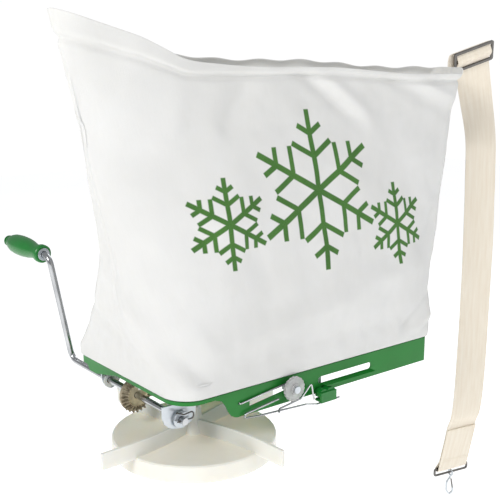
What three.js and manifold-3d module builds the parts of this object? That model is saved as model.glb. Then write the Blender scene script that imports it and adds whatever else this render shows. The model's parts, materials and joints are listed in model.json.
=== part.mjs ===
// Strap-carried broadcast spreader: a canvas hopper on a folded steel pan. A hand crank at the
// operator's right turns a finned plastic impeller under the pan through a small gear train,
// and a sliding gate under the outlet sets how much falls on it.
// Millimetres, +Z up, front face towards -Y. The pieces are drawn from the pan's front left
// corner, and the finished group is moved so that the middle of the rear flange is the origin.

import * as THREE from 'three';
import { mergeVertices } from 'three/addons/utils/BufferGeometryUtils.js';
import { ConvexGeometry } from 'three/addons/geometries/ConvexGeometry.js';
import Module from 'manifold-3d';

const wasm = await Module();
wasm.setup();

// ---- Driving dimensions -------------------------------------------------------------------

const PAN = { length: 356, depth: 204, apron: 30, top: 10, sheet: 1.5, joggle: 1 };
const PAN_RADII = { frontLeft: 28, frontRight: 5, backRight: 5, backLeft: 12 };
const FLOOR_UNDER = PAN.top - PAN.sheet;

const SHAFT = { x: 12, z: -22.4, radius: 3.6, front: 8.5, bend: 245 };
const ARM_TOP = { x: -12, z: 105.7 };
const BEND_RADIUS = 11;
const GRIP = { start: 259, end: 350, bore: 4.1, tip: 357 };

const IMPELLER = { x: 56.5, y: 58.15, top: -60.6, radius: 87.6, skirt: 18, reach: 125 };
const VANE = { height: 16, thickness: 3.6, count: 4, lead: 4.6 };
const IMPELLER_SHAFT = { radius: 3.2, bottom: -84, top: 34 };

const MODULE_BEVEL = 1.6;
const MODULE_SPUR = 1.5;
const TEETH = { crank: 24, bevelPinion: 12, clusterSpur: 12, idler: 26, impeller: 10 };
const SPUR_BAND = { bottom: -1.9, top: 4.1 };
const CLUSTER_Y = 91;

const OUTLET = { x: 104, y: 80, length: 44, width: 40 };
const STOP = { x: 138.4, z: -12.2, tilt: 7.3, radius: 13.4, slot: [86, 145.4] };
const RATE_ROD = { ends: [72.5, 150], above: 5.2, radius: 1.1 };
const LEDGE = { start: 187, end: 262, z: -20.6, reach: 8 };

const BAG = {
  wall: 2.4, mouthHalf: 256, mouthGap: 24, heightLeft: 377, heightRight: 311,
  endLeft: -66, endRight: 447, liftStart: 55, pinchLeft: 0.88, pinchRight: 0.22, upright: 0.035,
};
const MOUTH = { x: 190.5, y: 80, turn: -4.6 };
const STRAP = { x: 518, y: 60, width: 50.8, thickness: 1.8, turn: -10 };

const CLEAR = 0.35;

const GREEN = '#2f8a3c';
const GRIP_GREEN = '#1f9a38';
const ZINC = '#c3cad2';
const STEEL = '#b4b8bc';
const DARK_STEEL = '#6c7076';
const BRASS_ZINC = '#b5a67c';
const WHITE_PLASTIC = '#f1efe6';
const CANVAS = '#efeeea';
const WEBBING = '#e6dabd';

// ---- Solids -------------------------------------------------------------------------------

// One closed body: shared vertices merged, slivers dropped and faces pointing out.
function closed(geometry) {
  const bare = geometry.clone();
  bare.deleteAttribute('normal');
  bare.deleteAttribute('uv');
  const merged = mergeVertices(bare, 1e-3);
  const points = merged.attributes.position;
  const corner = [new THREE.Vector3(), new THREE.Vector3(), new THREE.Vector3()];
  const faces = [];
  let volume = 0;
  for (let i = 0; i < merged.index.count; i += 3) {
    const face = [0, 1, 2].map((k) => merged.index.getX(i + k));
    if (face[0] === face[1] || face[1] === face[2] || face[2] === face[0]) {
      continue;
    }
    corner.forEach((v, k) => v.fromBufferAttribute(points, face[k]));
    volume += corner[0].dot(corner[1].clone().cross(corner[2]));
    faces.push(face);
  }
  const outward = volume < 0 ? faces.map((f) => [f[0], f[2], f[1]]) : faces;
  merged.setIndex(outward.flat());
  return merged;
}

function solid(shape) {
  if (shape instanceof wasm.Manifold) {
    return shape;
  }
  const geometry = closed(shape);
  return new wasm.Manifold(new wasm.Mesh({
    numProp: 3,
    vertProperties: Float32Array.from(geometry.attributes.position.array),
    triVerts: Uint32Array.from(geometry.index.array),
  }));
}

function join(...shapes) {
  return shapes.map(solid).reduce((a, b) => a.add(b));
}

function cut(base, ...tools) {
  return tools.map(solid).reduce((a, b) => a.subtract(b), solid(base));
}

function geometryOf(shape) {
  if (!(shape instanceof wasm.Manifold)) {
    return closed(shape);
  }
  const mesh = shape.getMesh();
  const geometry = new THREE.BufferGeometry();
  geometry.setAttribute('position', new THREE.BufferAttribute(mesh.vertProperties, 3));
  geometry.setIndex(new THREE.BufferAttribute(mesh.triVerts, 1));
  return geometry;
}

// A shape drawn in X and Y, raised from z = bottom to z = top.
function raised(shape, bottom, top, curveSegments = 4) {
  const options = { depth: top - bottom, bevelEnabled: false, curveSegments };
  return new THREE.ExtrudeGeometry(shape, options).translate(0, 0, bottom);
}

// A shape drawn in X and Z, filling y = front to y = back.
function facingFront(shape, front, back, curveSegments = 4) {
  const geometry = raised(shape, 0, back - front, curveSegments);
  return geometry.rotateX(Math.PI / 2).translate(0, back, 0);
}

// A shape drawn in Y and Z, filling x = left to x = right.
function facingSide(shape, left, right, curveSegments = 4) {
  const turn = new THREE.Matrix4().makeBasis(
    new THREE.Vector3(0, 1, 0), new THREE.Vector3(0, 0, 1), new THREE.Vector3(1, 0, 0));
  return raised(shape, left, right, curveSegments).applyMatrix4(turn);
}

function block(x0, x1, y0, y1, z0, z1) {
  return new THREE.BoxGeometry(x1 - x0, y1 - y0, z1 - z0)
    .translate((x0 + x1) / 2, (y0 + y1) / 2, (z0 + z1) / 2);
}

function upright(x, y, bottom, top, radius, sides = 16) {
  return new THREE.CylinderGeometry(radius, radius, top - bottom, sides)
    .rotateX(Math.PI / 2).translate(x, y, (bottom + top) / 2);
}

// A cylinder along Y.
function lengthwise(x, z, front, back, radius, sides = 16) {
  return new THREE.CylinderGeometry(radius, radius, back - front, sides)
    .translate(x, (front + back) / 2, z);
}

// A turned piece on a vertical axis: profile points are [radius, height], closed on themselves.
function turned(profile, sides = 40) {
  const points = [...profile, profile[0]].map(([r, z]) => new THREE.Vector2(r, z));
  return new THREE.LatheGeometry(points, sides).rotateX(Math.PI / 2);
}

function polygon(points) {
  return new THREE.Shape(points.map(([x, y]) => new THREE.Vector2(x, y)));
}

function roundedPlate(x0, y0, x1, y1, radii) {
  const [a, b, c, d] = Array.isArray(radii) ? radii : [radii, radii, radii, radii];
  const shape = new THREE.Shape();
  shape.moveTo(x0 + a, y0);
  shape.lineTo(x1 - b, y0);
  shape.absarc(x1 - b, y0 + b, b, -Math.PI / 2, 0);
  shape.lineTo(x1, y1 - c);
  shape.absarc(x1 - c, y1 - c, c, 0, Math.PI / 2);
  shape.lineTo(x0 + d, y1);
  shape.absarc(x0 + d, y1 - d, d, Math.PI / 2, Math.PI);
  shape.lineTo(x0, y0 + a);
  shape.absarc(x0 + a, y0 + a, a, Math.PI, Math.PI * 1.5);
  return shape;
}

function panOutline(inset) {
  const radii = [PAN_RADII.frontLeft, PAN_RADII.frontRight, PAN_RADII.backRight, PAN_RADII.backLeft];
  return roundedPlate(inset, inset, PAN.length - inset, PAN.depth - inset,
    radii.map((r) => r - inset));
}

// ---- Wires --------------------------------------------------------------------------------

// A path through given stations, with one section of the tube at each of them.
class StationPath extends THREE.Curve {
  constructor(stations) {
    super();
    this.stations = stations;
  }

  getUtoTmapping(u) {
    return u;
  }

  getPoint(t) {
    const at = t * (this.stations.length - 1);
    const k = Math.min(Math.floor(at), this.stations.length - 2);
    return this.stations[k].clone().lerp(this.stations[k + 1], at - k);
  }

  getTangent(t) {
    const last = this.stations.length - 1;
    const k = Math.round(t * last);
    const tangent = new THREE.Vector3();
    for (const [from, to] of [[k - 1, k], [k, k + 1]]) {
      if (from >= 0 && to <= last) {
        tangent.add(this.stations[to].clone().sub(this.stations[from]).normalize());
      }
    }
    return tangent.normalize();
  }
}

// Stations along straight runs between corners, with each inner corner rounded.
function roundedRoute(corners, radius, arcSteps = 5) {
  const points = corners.map((c) => new THREE.Vector3(...c));
  const route = [points[0]];
  for (let i = 1; i < points.length - 1; i += 1) {
    const back = points[i - 1].clone().sub(points[i]).normalize();
    const ahead = points[i + 1].clone().sub(points[i]).normalize();
    const half = back.angleTo(ahead) / 2;
    const run = radius / Math.tan(half);
    const centre = points[i].clone().addScaledVector(
      back.clone().add(ahead).normalize(), radius / Math.sin(half));
    const start = points[i].clone().addScaledVector(back, run).sub(centre);
    const end = points[i].clone().addScaledVector(ahead, run).sub(centre);
    const sweep = start.angleTo(end);
    const axis = start.clone().cross(end).normalize();
    for (let k = 0; k <= arcSteps; k += 1) {
      route.push(start.clone().applyAxisAngle(axis, (sweep * k) / arcSteps).add(centre));
    }
  }
  route.push(points[points.length - 1]);
  return route;
}

function rod(stations, radius, sides = 10) {
  const section = new THREE.Shape();
  section.absarc(0, 0, radius, 0, Math.PI * 2);
  return new THREE.ExtrudeGeometry(section, {
    steps: stations.length - 1,
    extrudePath: new StationPath(stations),
    curveSegments: sides / 2,
    bevelEnabled: false,
  });
}

function wire(corners, radius, bend, sides = 8) {
  return rod(roundedRoute(corners, bend, 4), radius, sides);
}

// ---- Gears --------------------------------------------------------------------------------

const TOOTH_SHARE = 0.4;
const ADDENDUM = 0.72;
const DEDENDUM = 1.15;

function pitchRadius(teeth, module) {
  return (teeth * module) / 2;
}

// A spur gear on the Z axis, with a tooth centred on the angle phase.
function spurGear(teeth, module, bottom, top, bore, phase, taper = 1) {
  const pitch = pitchRadius(teeth, module);
  const half = (Math.PI / teeth) * TOOTH_SHARE;
  const profile = [
    [pitch - DEDENDUM * module, -half * 1.5], [pitch + ADDENDUM * module, -half * 0.62],
    [pitch + ADDENDUM * module, half * 0.62], [pitch - DEDENDUM * module, half * 1.5],
  ];
  const outline = [];
  for (let k = 0; k < teeth; k += 1) {
    const middle = phase + (k * 2 * Math.PI) / teeth;
    for (const [r, a] of profile) {
      outline.push([r * Math.cos(middle + a), r * Math.sin(middle + a)]);
    }
  }
  const geometry = raised(polygon(outline), bottom, top);
  const points = geometry.attributes.position;
  for (let i = 0; i < points.count; i += 1) {
    const scale = THREE.MathUtils.mapLinear(points.getZ(i), bottom, top, taper, 1);
    points.setXY(i, points.getX(i) * scale, points.getY(i) * scale);
  }
  return bore ? cut(geometry, upright(0, 0, bottom - 1, top + 1, bore)) : solid(geometry);
}

// Turns a gear so that its teeth stand in the gaps of the one it meshes with.
function meshingPhase(phase, teeth, direction, otherTeeth) {
  const turns = ((direction - phase) * teeth) / (2 * Math.PI) + 0.5;
  return direction + Math.PI + (turns * 2 * Math.PI) / otherTeeth;
}

const CLUSTER = { x: SHAFT.x, y: CLUSTER_Y };
const CRANK_PITCH = pitchRadius(TEETH.crank, MODULE_BEVEL);
const PINION_PITCH = pitchRadius(TEETH.bevelPinion, MODULE_BEVEL);
const GEAR_BACK = CLUSTER_Y + PINION_PITCH;

// The idler's centre stands at its two centre distances from the cluster and the impeller.
function idlerCentre() {
  const toCluster = pitchRadius(TEETH.clusterSpur + TEETH.idler, MODULE_SPUR);
  const toImpeller = pitchRadius(TEETH.idler + TEETH.impeller, MODULE_SPUR);
  const along = new THREE.Vector2(IMPELLER.x - CLUSTER.x, IMPELLER.y - CLUSTER.y);
  const span = along.length();
  const part = (span ** 2 + toCluster ** 2 - toImpeller ** 2) / (2 * span);
  const side = Math.sqrt(Math.max(toCluster ** 2 - part ** 2, 0));
  along.normalize();
  return {
    x: CLUSTER.x + along.x * part - along.y * side,
    y: CLUSTER.y + along.y * part + along.x * side,
  };
}

const IDLER = idlerCentre();

function directionTo(from, to) {
  return Math.atan2(to.y - from.y, to.x - from.x);
}

const CLUSTER_SPUR_PHASE = 0.2;
const IDLER_PHASE = meshingPhase(
  CLUSTER_SPUR_PHASE, TEETH.clusterSpur, directionTo(CLUSTER, IDLER), TEETH.idler);
const IMPELLER_GEAR_PHASE = meshingPhase(
  IDLER_PHASE, TEETH.idler, directionTo(IDLER, IMPELLER), TEETH.impeller);

// ---- The assembly -------------------------------------------------------------------------

const spreader = new THREE.Group();
spreader.name = 'broadcast_spreader';

function add(name, shape, colour, roughness, metalness, parent = spreader) {
  const material = new THREE.MeshStandardMaterial({ color: colour, roughness, metalness });
  const mesh = new THREE.Mesh(geometryOf(shape), material);
  mesh.name = name;
  parent.add(mesh);
  return mesh;
}

const paint = [GREEN, 0.42, 0.1];
const zinc = [ZINC, 0.4, 0.85];
const steel = [STEEL, 0.25, 0.95];

// Places of the fasteners, shared by the pieces that they pass through.
const STRIP_RIVETS = [
  [60, 8], [178, 8], [298, 8], [60, 196], [178, 196], [298, 196],
  [8, 70], [8, 140], [348, 60], [348, 144],
];
const RIVET = { radius: 2, hole: 2.35, head: 3.9 };
const POSTS = [[68, 41.5], [70, 76], [33, 46]];
const GEAR_PLATE = { top: -6.2, sheet: 1.6 };
const BRACKETS = { front: 19, rear: 158, sheet: 2.2, flange: 14 };
const GUIDES = { front: 54, rear: 106, start: 74, end: 216 };

// Folded pan: a flat floor with a joggled rim for the cloth, an apron at the front, a shallow
// left side under which the crank shaft runs, and an outlet over the impeller.
function pan() {
  const lower = panOutline(0);
  lower.holes.push(panOutline(PAN.sheet));
  const upper = panOutline(PAN.joggle);
  upper.holes.push(panOutline(PAN.joggle + PAN.sheet));
  const floor = panOutline(PAN.joggle);
  const folded = join(
    raised(lower, -PAN.apron, -1),
    raised(upper, -2, PAN.top),
    raised(floor, FLOOR_UNDER, PAN.top),
    block(LEDGE.start, LEDGE.end, -LEDGE.reach, 1, LEDGE.z - 1.4, LEDGE.z),
  );
  const below = -PAN.apron - 1;
  const leftSide = polygon([
    [-1, below], [-1, -5], [122, -5], [166, -15], [180, -15], [186, -9],
    [PAN.depth + 1, -9], [PAN.depth + 1, below],
  ]);
  const sweep = new THREE.Shape();
  sweep.moveTo(26, below);
  sweep.lineTo(26, -5);
  sweep.lineTo(42, -5);
  sweep.bezierCurveTo(57, -5, 56, -22, 63, -27);
  sweep.quadraticCurveTo(67, -30, 73, -30.2);
  sweep.lineTo(73, below);
  const slot = roundedPlate(LEDGE.start - 6, LEDGE.z + 0.4, LEDGE.end, LEDGE.z + 8.4, 3.5);
  const outletEdge = roundedPlate(
    OUTLET.x - OUTLET.length / 2, OUTLET.y - OUTLET.width / 2,
    OUTLET.x + OUTLET.length / 2, OUTLET.y + OUTLET.width / 2, 8);
  const holes = [
    ...STRIP_RIVETS.map(([x, y]) => upright(x, y, 5, 12, RIVET.hole, 10)),
    ...POSTS.map(([x, y]) => upright(x, y, 5, 12, RIVET.hole, 10)),
    upright(CLUSTER.x, CLUSTER.y, 5, 12, 3.4, 16),
    upright(IDLER.x, IDLER.y, 5, 12, 3.4, 16),
    upright(IMPELLER.x, IMPELLER.y, 5, 12, 6.4, 20),
    ...RATE_ROD.ends.map((x) => lengthwise(x, stopLine(x) + RATE_ROD.above, -1, 3, 1.5, 10)),
  ];
  return cut(folded,
    facingSide(leftSide, -1, 26.5),
    facingFront(sweep, -1, 2),
    facingFront(slot, -1, 3),
    facingFront(stopSlot(3.2), -1, 3),
    raised(outletEdge, 5, 12),
    block(1.6, 3, CLUSTER.y - 7, CLUSTER.y + 7, -2.5, SPUR_BAND.top + 1),
    ...holes);
}

// Height of the inclined line that the rate stop slides along.
function stopLine(x) {
  return STOP.z + (x - STOP.x) * Math.tan(THREE.MathUtils.degToRad(STOP.tilt));
}

// The slot along that line, as a shape in X and Z.
function stopSlot(half) {
  const [left, right] = STOP.slot;
  return polygon([
    [left, stopLine(left) - half], [right, stopLine(right) - half],
    [right, stopLine(right) + half], [left, stopLine(left) + half],
  ]);
}

add('hopper_pan', pan(), ...paint);

// Four flat strips clamp the hem of the bag to the floor inside the hopper.
const STRIPS = {
  bag_strip_front: [40, 316, 3.4, 13],
  bag_strip_rear: [40, 316, 191, 200.6],
  bag_strip_left: [3.4, 13, 44, 160],
  bag_strip_right: [343, 352.6, 40, 164],
};
const STRIP_Z = [12.9, 14.9];
for (const [name, [x0, x1, y0, y1]] of Object.entries(STRIPS)) {
  const on = STRIP_RIVETS.filter(([x, y]) => x > x0 && x < x1 && y > y0 && y < y1);
  const strip = cut(block(x0, x1, y0, y1, ...STRIP_Z),
    ...on.map(([x, y]) => upright(x, y, 12, 16, RIVET.hole, 10)));
  add(name, strip, ...zinc);
}
STRIP_RIVETS.forEach(([x, y], k) => {
  const rivet = turned([
    [0, 6.9], [RIVET.head, 6.9], [RIVET.head, 8.2], [RIVET.radius, 8.2],
    [RIVET.radius, 15.2], [RIVET.head, 15.2], [RIVET.head * 0.8, 16.3], [0, 16.6],
  ], 8).translate(x, y, 0);
  add(`strip_rivet_${k + 1}`, rivet, ...steel);
});

// ---- Canvas hopper ------------------------------------------------------------------------

// How far the front and rear panels have closed up at one end: they meet in a side seam.
function pinchAt(share, along) {
  const closing = 1 - Math.min(1 - share + BAG.upright, 1) ** 5;
  const opening = 1 - 0.45 * share ** 10;
  const sharpness = 3 + 5 * (1 - share) ** 3;
  const strength = along < 0 ? BAG.pinchLeft : BAG.pinchRight;
  return strength * closing * opening * Math.abs(along) ** sharpness;
}

// One ring of the bag: a rounded rectangle, each corner an arc and each side evenly divided.
function bagRing(centre, half, radii, turn, height, inset, share = 0) {
  const ring = [];
  const corners = [[-1, -1], [1, -1], [1, 1], [-1, 1]];
  corners.forEach(([sx, sy], c) => {
    const r = Math.max(radii[c] - inset, 0.6);
    const cx = sx * (half[0] - inset - r);
    const cy = sy * (half[1] - inset - r);
    for (let k = 0; k <= 5; k += 1) {
      const angle = Math.PI * (1 + c / 2 + k / 10);
      ring.push([cx + r * Math.cos(angle), cy + r * Math.sin(angle)]);
    }
    const [nx, ny] = corners[(c + 1) % 4];
    const rn = Math.max(radii[(c + 1) % 4] - inset, 0.6);
    const end = [nx * (half[0] - inset - rn), ny * (half[1] - inset - rn)];
    const from = ring[ring.length - 1];
    const next = Math.PI * (1 + (c + 1) / 2);
    const to = [end[0] + rn * Math.cos(next), end[1] + rn * Math.sin(next)];
    const divisions = c % 2 ? 3 : 10;
    for (let k = 1; k < divisions; k += 1) {
      ring.push([0, 1].map((i) => from[i] + ((to[i] - from[i]) * k) / divisions));
    }
  });
  const angle = THREE.MathUtils.degToRad(turn);
  return ring.map(([x, full]) => {
    const y = full * (1 - pinchAt(share, x / half[0]) * (half[1] / (half[1] - inset)));
    const px = centre[0] + x * Math.cos(angle) - y * Math.sin(angle);
    const py = centre[1] + x * Math.sin(angle) + y * Math.cos(angle);
    return new THREE.Vector3(px, py, height(px));
  });
}

// The mouth stands higher at its left end, where the cloth is pulled up.
function mouthHeight(x) {
  const { heightRight, heightLeft, endLeft, endRight, liftStart } = BAG;
  const slope = 0.056;
  const corner = (heightLeft - heightRight - slope * (endRight - endLeft)) / (liftStart - endLeft);
  return heightRight + slope * (endRight - x) + corner * Math.max(0, liftStart - x);
}

// Share 0 is the hem on the pan and share 1 is the mouth.
function bagLevel(share, inset) {
  const ease = share ** 1.15;
  const mix = (a, b) => a + (b - a) * ease;
  const halfPan = [PAN.length / 2, PAN.depth / 2];
  const grow = BAG.wall + CLEAR + 5 * Math.sin(Math.PI * share);
  const half = [
    mix(halfPan[0], BAG.mouthHalf) + grow,
    mix(halfPan[1], BAG.mouthGap) + grow,
  ];
  const panRadii = [
    PAN_RADII.frontLeft, PAN_RADII.frontRight, PAN_RADII.backRight, PAN_RADII.backLeft,
  ].map((r) => r + BAG.wall + CLEAR);
  const radii = panRadii.map((r) => Math.min(r + 90 * share * (1 - share), mix(r, BAG.mouthGap)));
  const centre = [mix(PAN.length / 2, MOUTH.x), mix(PAN.depth / 2, MOUTH.y)];
  const hem = 0.6;
  return bagRing(centre, half, radii, mix(0, MOUTH.turn),
    (x) => hem + (mouthHeight(x) - hem) * share, inset, share);
}

function bagFlatRing(z, inset) {
  const outer = PAN.length / 2 + BAG.wall + CLEAR;
  const deep = PAN.depth / 2 + BAG.wall + CLEAR;
  const radii = [
    PAN_RADII.frontLeft, PAN_RADII.frontRight, PAN_RADII.backRight, PAN_RADII.backLeft,
  ].map((r) => r + BAG.wall + CLEAR);
  return bagRing([PAN.length / 2, PAN.depth / 2], [outer, deep], radii, 0, () => z, inset);
}

function ringsToGeometry(rings) {
  const count = rings[0].length;
  const positions = [];
  const point = (r, k) => rings[(r + rings.length) % rings.length][k % count];
  for (let r = 0; r < rings.length; r += 1) {
    for (let k = 0; k < count; k += 1) {
      const quad = [point(r, k), point(r, k + 1), point(r + 1, k + 1), point(r + 1, k)];
      for (const i of [0, 1, 2, 0, 2, 3]) {
        positions.push(...quad[i].toArray());
      }
    }
  }
  const geometry = new THREE.BufferGeometry();
  geometry.setAttribute('position', new THREE.Float32BufferAttribute(positions, 3));
  return geometry;
}

function bag() {
  const levels = [BAG.upright, 0.09, 0.2, 0.35, 0.52, 0.7, 0.88, 1];
  const wall = BAG.wall;
  const foldTop = 12.6;
  const rings = [
    bagFlatRing(0.6, 0),
    ...levels.map((share) => bagLevel(share, 0)),
    ...levels.slice().reverse().map((share) => bagLevel(share, wall)),
    bagFlatRing(foldTop, wall + 1),
    bagFlatRing(foldTop, wall + 16),
    bagFlatRing(PAN.top + CLEAR, wall + 16),
    bagFlatRing(PAN.top + CLEAR, wall),
    bagFlatRing(0.6, wall),
  ];
  return cut(ringsToGeometry(rings),
    upright(CLUSTER.x, CLUSTER.y, 9, 12.62, 5.6),
    ...STRIP_RIVETS.map(([x, y]) => upright(x, y, 9, 14, RIVET.hole, 10)));
}

add('canvas_bag', bag(), CANVAS, 0.95, 0);

// ---- Crank --------------------------------------------------------------------------------

function crankRod() {
  const route = roundedRoute([
    [SHAFT.x, SHAFT.front, SHAFT.z], [SHAFT.x, SHAFT.bend, SHAFT.z],
    [ARM_TOP.x, SHAFT.bend, ARM_TOP.z], [ARM_TOP.x, GRIP.tip, ARM_TOP.z],
  ], BEND_RADIUS, 6);
  return cut(rod(route, SHAFT.radius, 14),
    new THREE.CylinderGeometry(1.2, 1.2, 12, 8).rotateZ(Math.PI / 2)
      .translate(SHAFT.x, 12.6, SHAFT.z),
    new THREE.CylinderGeometry(1.7, 1.7, 12, 8).rotateZ(Math.PI / 2)
      .translate(SHAFT.x, GEAR_BACK + 7, SHAFT.z));
}

add('crank_rod', crankRod(), ...steel);

// Bevel gear with face teeth: a dished web, a hub behind it and straight teeth on its front.
function crankGear() {
  const facing = new THREE.Vector2(-CRANK_PITCH, PINION_PITCH).normalize();
  const onCone = (share, lift) => {
    const r = CRANK_PITCH * share + facing.y * lift * share;
    const y = CLUSTER_Y + PINION_PITCH * share + facing.x * lift * share;
    return [r, y];
  };
  const inner = 0.62;
  const low = -DEDENDUM * MODULE_BEVEL;
  const high = ADDENDUM * MODULE_BEVEL;
  const bore = SHAFT.radius + CLEAR;
  const [rimR, rimY] = onCone(1.02, low);
  const [innerR, innerY] = onCone(inner, low);
  const body = turned([
    [bore, innerY + 1.2], [innerR - 1, innerY + 1.2], [innerR, innerY], [rimR, rimY],
    [rimR, rimY + 2.6], [9.5, rimY + 2.6], [9.5, rimY + 11], [bore, rimY + 11],
  ], 36).rotateX(-Math.PI / 2).scale(1, 1, -1);
  const teeth = [];
  for (let k = 0; k < TEETH.crank; k += 1) {
    const points = [];
    for (const [share, lift, spread] of [
      [inner, low - 0.6, 1.35], [inner, high, 0.62], [1, low - 0.6, 1.35], [1, high, 0.62],
    ]) {
      const [r, y] = onCone(share, lift);
      const half = (Math.PI / TEETH.crank) * TOOTH_SHARE * spread;
      for (const side of [-half, half]) {
        points.push(new THREE.Vector3(r * Math.sin(side), y, r * Math.cos(side)));
      }
    }
    teeth.push(new ConvexGeometry(points).rotateY((k * 2 * Math.PI) / TEETH.crank));
  }
  const gear = join(body, ...teeth).translate([SHAFT.x, 0, SHAFT.z]);
  const pinHole = new THREE.CylinderGeometry(1.7, 1.7, 30, 8).rotateZ(Math.PI / 2)
    .translate(SHAFT.x, GEAR_BACK + 7, SHAFT.z);
  return cut(gear, pinHole);
}

add('crank_gear', crankGear(), BRASS_ZINC, 0.5, 0.7);

const gearPin = new THREE.CylinderGeometry(1.35, 1.35, 20.5, 10).rotateZ(Math.PI / 2)
  .translate(SHAFT.x, GEAR_BACK + 7, SHAFT.z);
add('gear_roll_pin', gearPin, DARK_STEEL, 0.4, 0.9);

// A formed plate with a rounded foot and a flange riveted under the floor.
function shaftBracket(left, right, front, flangeAhead) {
  const middle = (left + right) / 2;
  const shoulder = 6;
  const bottom = -33;
  const round = 15;
  const shape = new THREE.Shape();
  shape.moveTo(left, -6);
  shape.lineTo(left, bottom + round);
  shape.quadraticCurveTo(left + 2, bottom + 1.5, middle, bottom);
  shape.quadraticCurveTo(right - 2, bottom + 1.5, right, bottom + round);
  shape.lineTo(right, FLOOR_UNDER - CLEAR);
  shape.lineTo(shoulder, FLOOR_UNDER - CLEAR);
  shape.lineTo(shoulder, -6);
  const back = front + BRACKETS.sheet;
  const flange = flangeAhead
    ? [front - BRACKETS.flange, back] : [front, back + BRACKETS.flange];
  const plate = join(
    facingFront(shape, front, back),
    block(shoulder + 1, right - 3, ...flange,
      FLOOR_UNDER - CLEAR - BRACKETS.sheet, FLOOR_UNDER - CLEAR));
  return cut(plate, lengthwise(SHAFT.x, SHAFT.z, front - 1, back + 1, 5.9, 24));
}

const bracketSpan = { front: [-8, 32], rear: [2.2, 27] };
add('front_shaft_bracket', shaftBracket(...bracketSpan.front, BRACKETS.front, false), ...zinc);
add('rear_shaft_bracket', shaftBracket(...bracketSpan.rear, BRACKETS.rear, true), ...zinc);

// Flanged sleeve in a bracket, on the crank shaft.
function shaftBushing(front) {
  const bore = SHAFT.radius + CLEAR;
  const back = front + BRACKETS.sheet;
  const profile = [
    [bore, front - 1.7], [8, front - 1.7], [8, front - CLEAR], [5.5, front - CLEAR],
    [5.5, back + 4], [bore, back + 4],
  ];
  return turned(profile, 16).rotateX(-Math.PI / 2).scale(1, 1, -1).translate(SHAFT.x, 0, SHAFT.z);
}

add('front_shaft_bushing', shaftBushing(BRACKETS.front), WHITE_PLASTIC, 0.5, 0);
add('rear_shaft_bushing', shaftBushing(BRACKETS.rear), WHITE_PLASTIC, 0.5, 0);

function washer(x, z, front, back, inner, outer) {
  return cut(lengthwise(x, z, front, back, outer), lengthwise(x, z, front - 1, back + 1, inner));
}

add('front_washer', washer(SHAFT.x, SHAFT.z, 15.4, 16.8, SHAFT.radius + CLEAR, 9), ...zinc);

// Spring cotter: one straight leg through the shaft and one bowed around it.
const cotterY = 12.6;
const cotterRoute = roundedRoute([
  [SHAFT.x - 7, cotterY, SHAFT.z], [SHAFT.x + 12.5, cotterY, SHAFT.z],
  [SHAFT.x + 12.5, cotterY - 0.2, SHAFT.z + 7.4], [SHAFT.x + 1, cotterY - 0.2, SHAFT.z + 6.2],
  [SHAFT.x - 8, cotterY - 0.2, SHAFT.z + 10],
], 3, 5);
add('front_hairpin_cotter', rod(cotterRoute, 0.8, 8), DARK_STEEL, 0.35, 0.9);

// Moulded grip, free to turn on the end of the crank rod.
function crankGrip() {
  const { start, end, bore } = GRIP;
  const profile = [
    [bore, start], [9.4, start], [10.6, start + 1.5], [10.6, start + 7], [8.4, start + 9],
    [8.2, start + 16], [9, start + 25], [10.8, start + 35], [11.8, start + 46],
    [12, start + 60], [11.2, start + 72], [9.6, start + 79], [7.2, start + 82.5],
    [6.6, start + 86], [6.4, end - 1.2], [5.6, end], [bore, end],
  ];
  return turned(profile, 28).rotateX(-Math.PI / 2).scale(1, 1, -1)
    .translate(ARM_TOP.x, 0, ARM_TOP.z);
}

add('crank_grip', crankGrip(), GRIP_GREEN, 0.45, 0);
add('grip_push_nut', washer(ARM_TOP.x, ARM_TOP.z, GRIP.end + 0.5, GRIP.end + 2.3,
  SHAFT.radius + 0.32, 6.6), GRIP_GREEN, 0.5, 0);
add('grip_inner_washer', washer(ARM_TOP.x, ARM_TOP.z, GRIP.start - 1.8, GRIP.start - 0.5,
  SHAFT.radius + 0.32, 7.4), ...zinc);

// ---- Gear train ---------------------------------------------------------------------------

// Bevel pinion and spur gear in one piece, on a stub under the floor.
function clusterGear() {
  const bigEnd = SHAFT.z + CRANK_PITCH;
  const taper = 0.62;
  const smallEnd = SHAFT.z + CRANK_PITCH * taper;
  const bevelPhase = Math.PI / 2 + Math.PI / TEETH.bevelPinion;
  const bevel = spurGear(
    TEETH.bevelPinion, MODULE_BEVEL * 0.94, smallEnd, bigEnd, 0, bevelPhase, taper);
  const neck = upright(0, 0, bigEnd - 0.2, SPUR_BAND.bottom + 0.2, 6.6, 20);
  const spur = spurGear(
    TEETH.clusterSpur, MODULE_SPUR, SPUR_BAND.bottom, SPUR_BAND.top, 0, CLUSTER_SPUR_PHASE);
  const bore = upright(0, 0, smallEnd - 1, SPUR_BAND.top + 1, 3.35, 20);
  return cut(join(bevel, neck, spur), bore).translate([CLUSTER.x, CLUSTER.y, 0]);
}

add('cluster_gear', clusterGear(), '#d9dcde', 0.35, 0.8);

function stub(at, bottom, seat) {
  return turned([
    [0, bottom - 1.7], [4.6, bottom - 1.7], [4.6, bottom - CLEAR], [3, bottom - CLEAR],
    [3, seat], [5, seat], [5, FLOOR_UNDER - CLEAR], [3, FLOOR_UNDER - CLEAR], [3, PAN.top + CLEAR],
    [5, PAN.top + CLEAR], [4.4, PAN.top + 1.8], [0, PAN.top + 2.2],
  ], 14).translate(at.x, at.y, 0);
}

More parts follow.
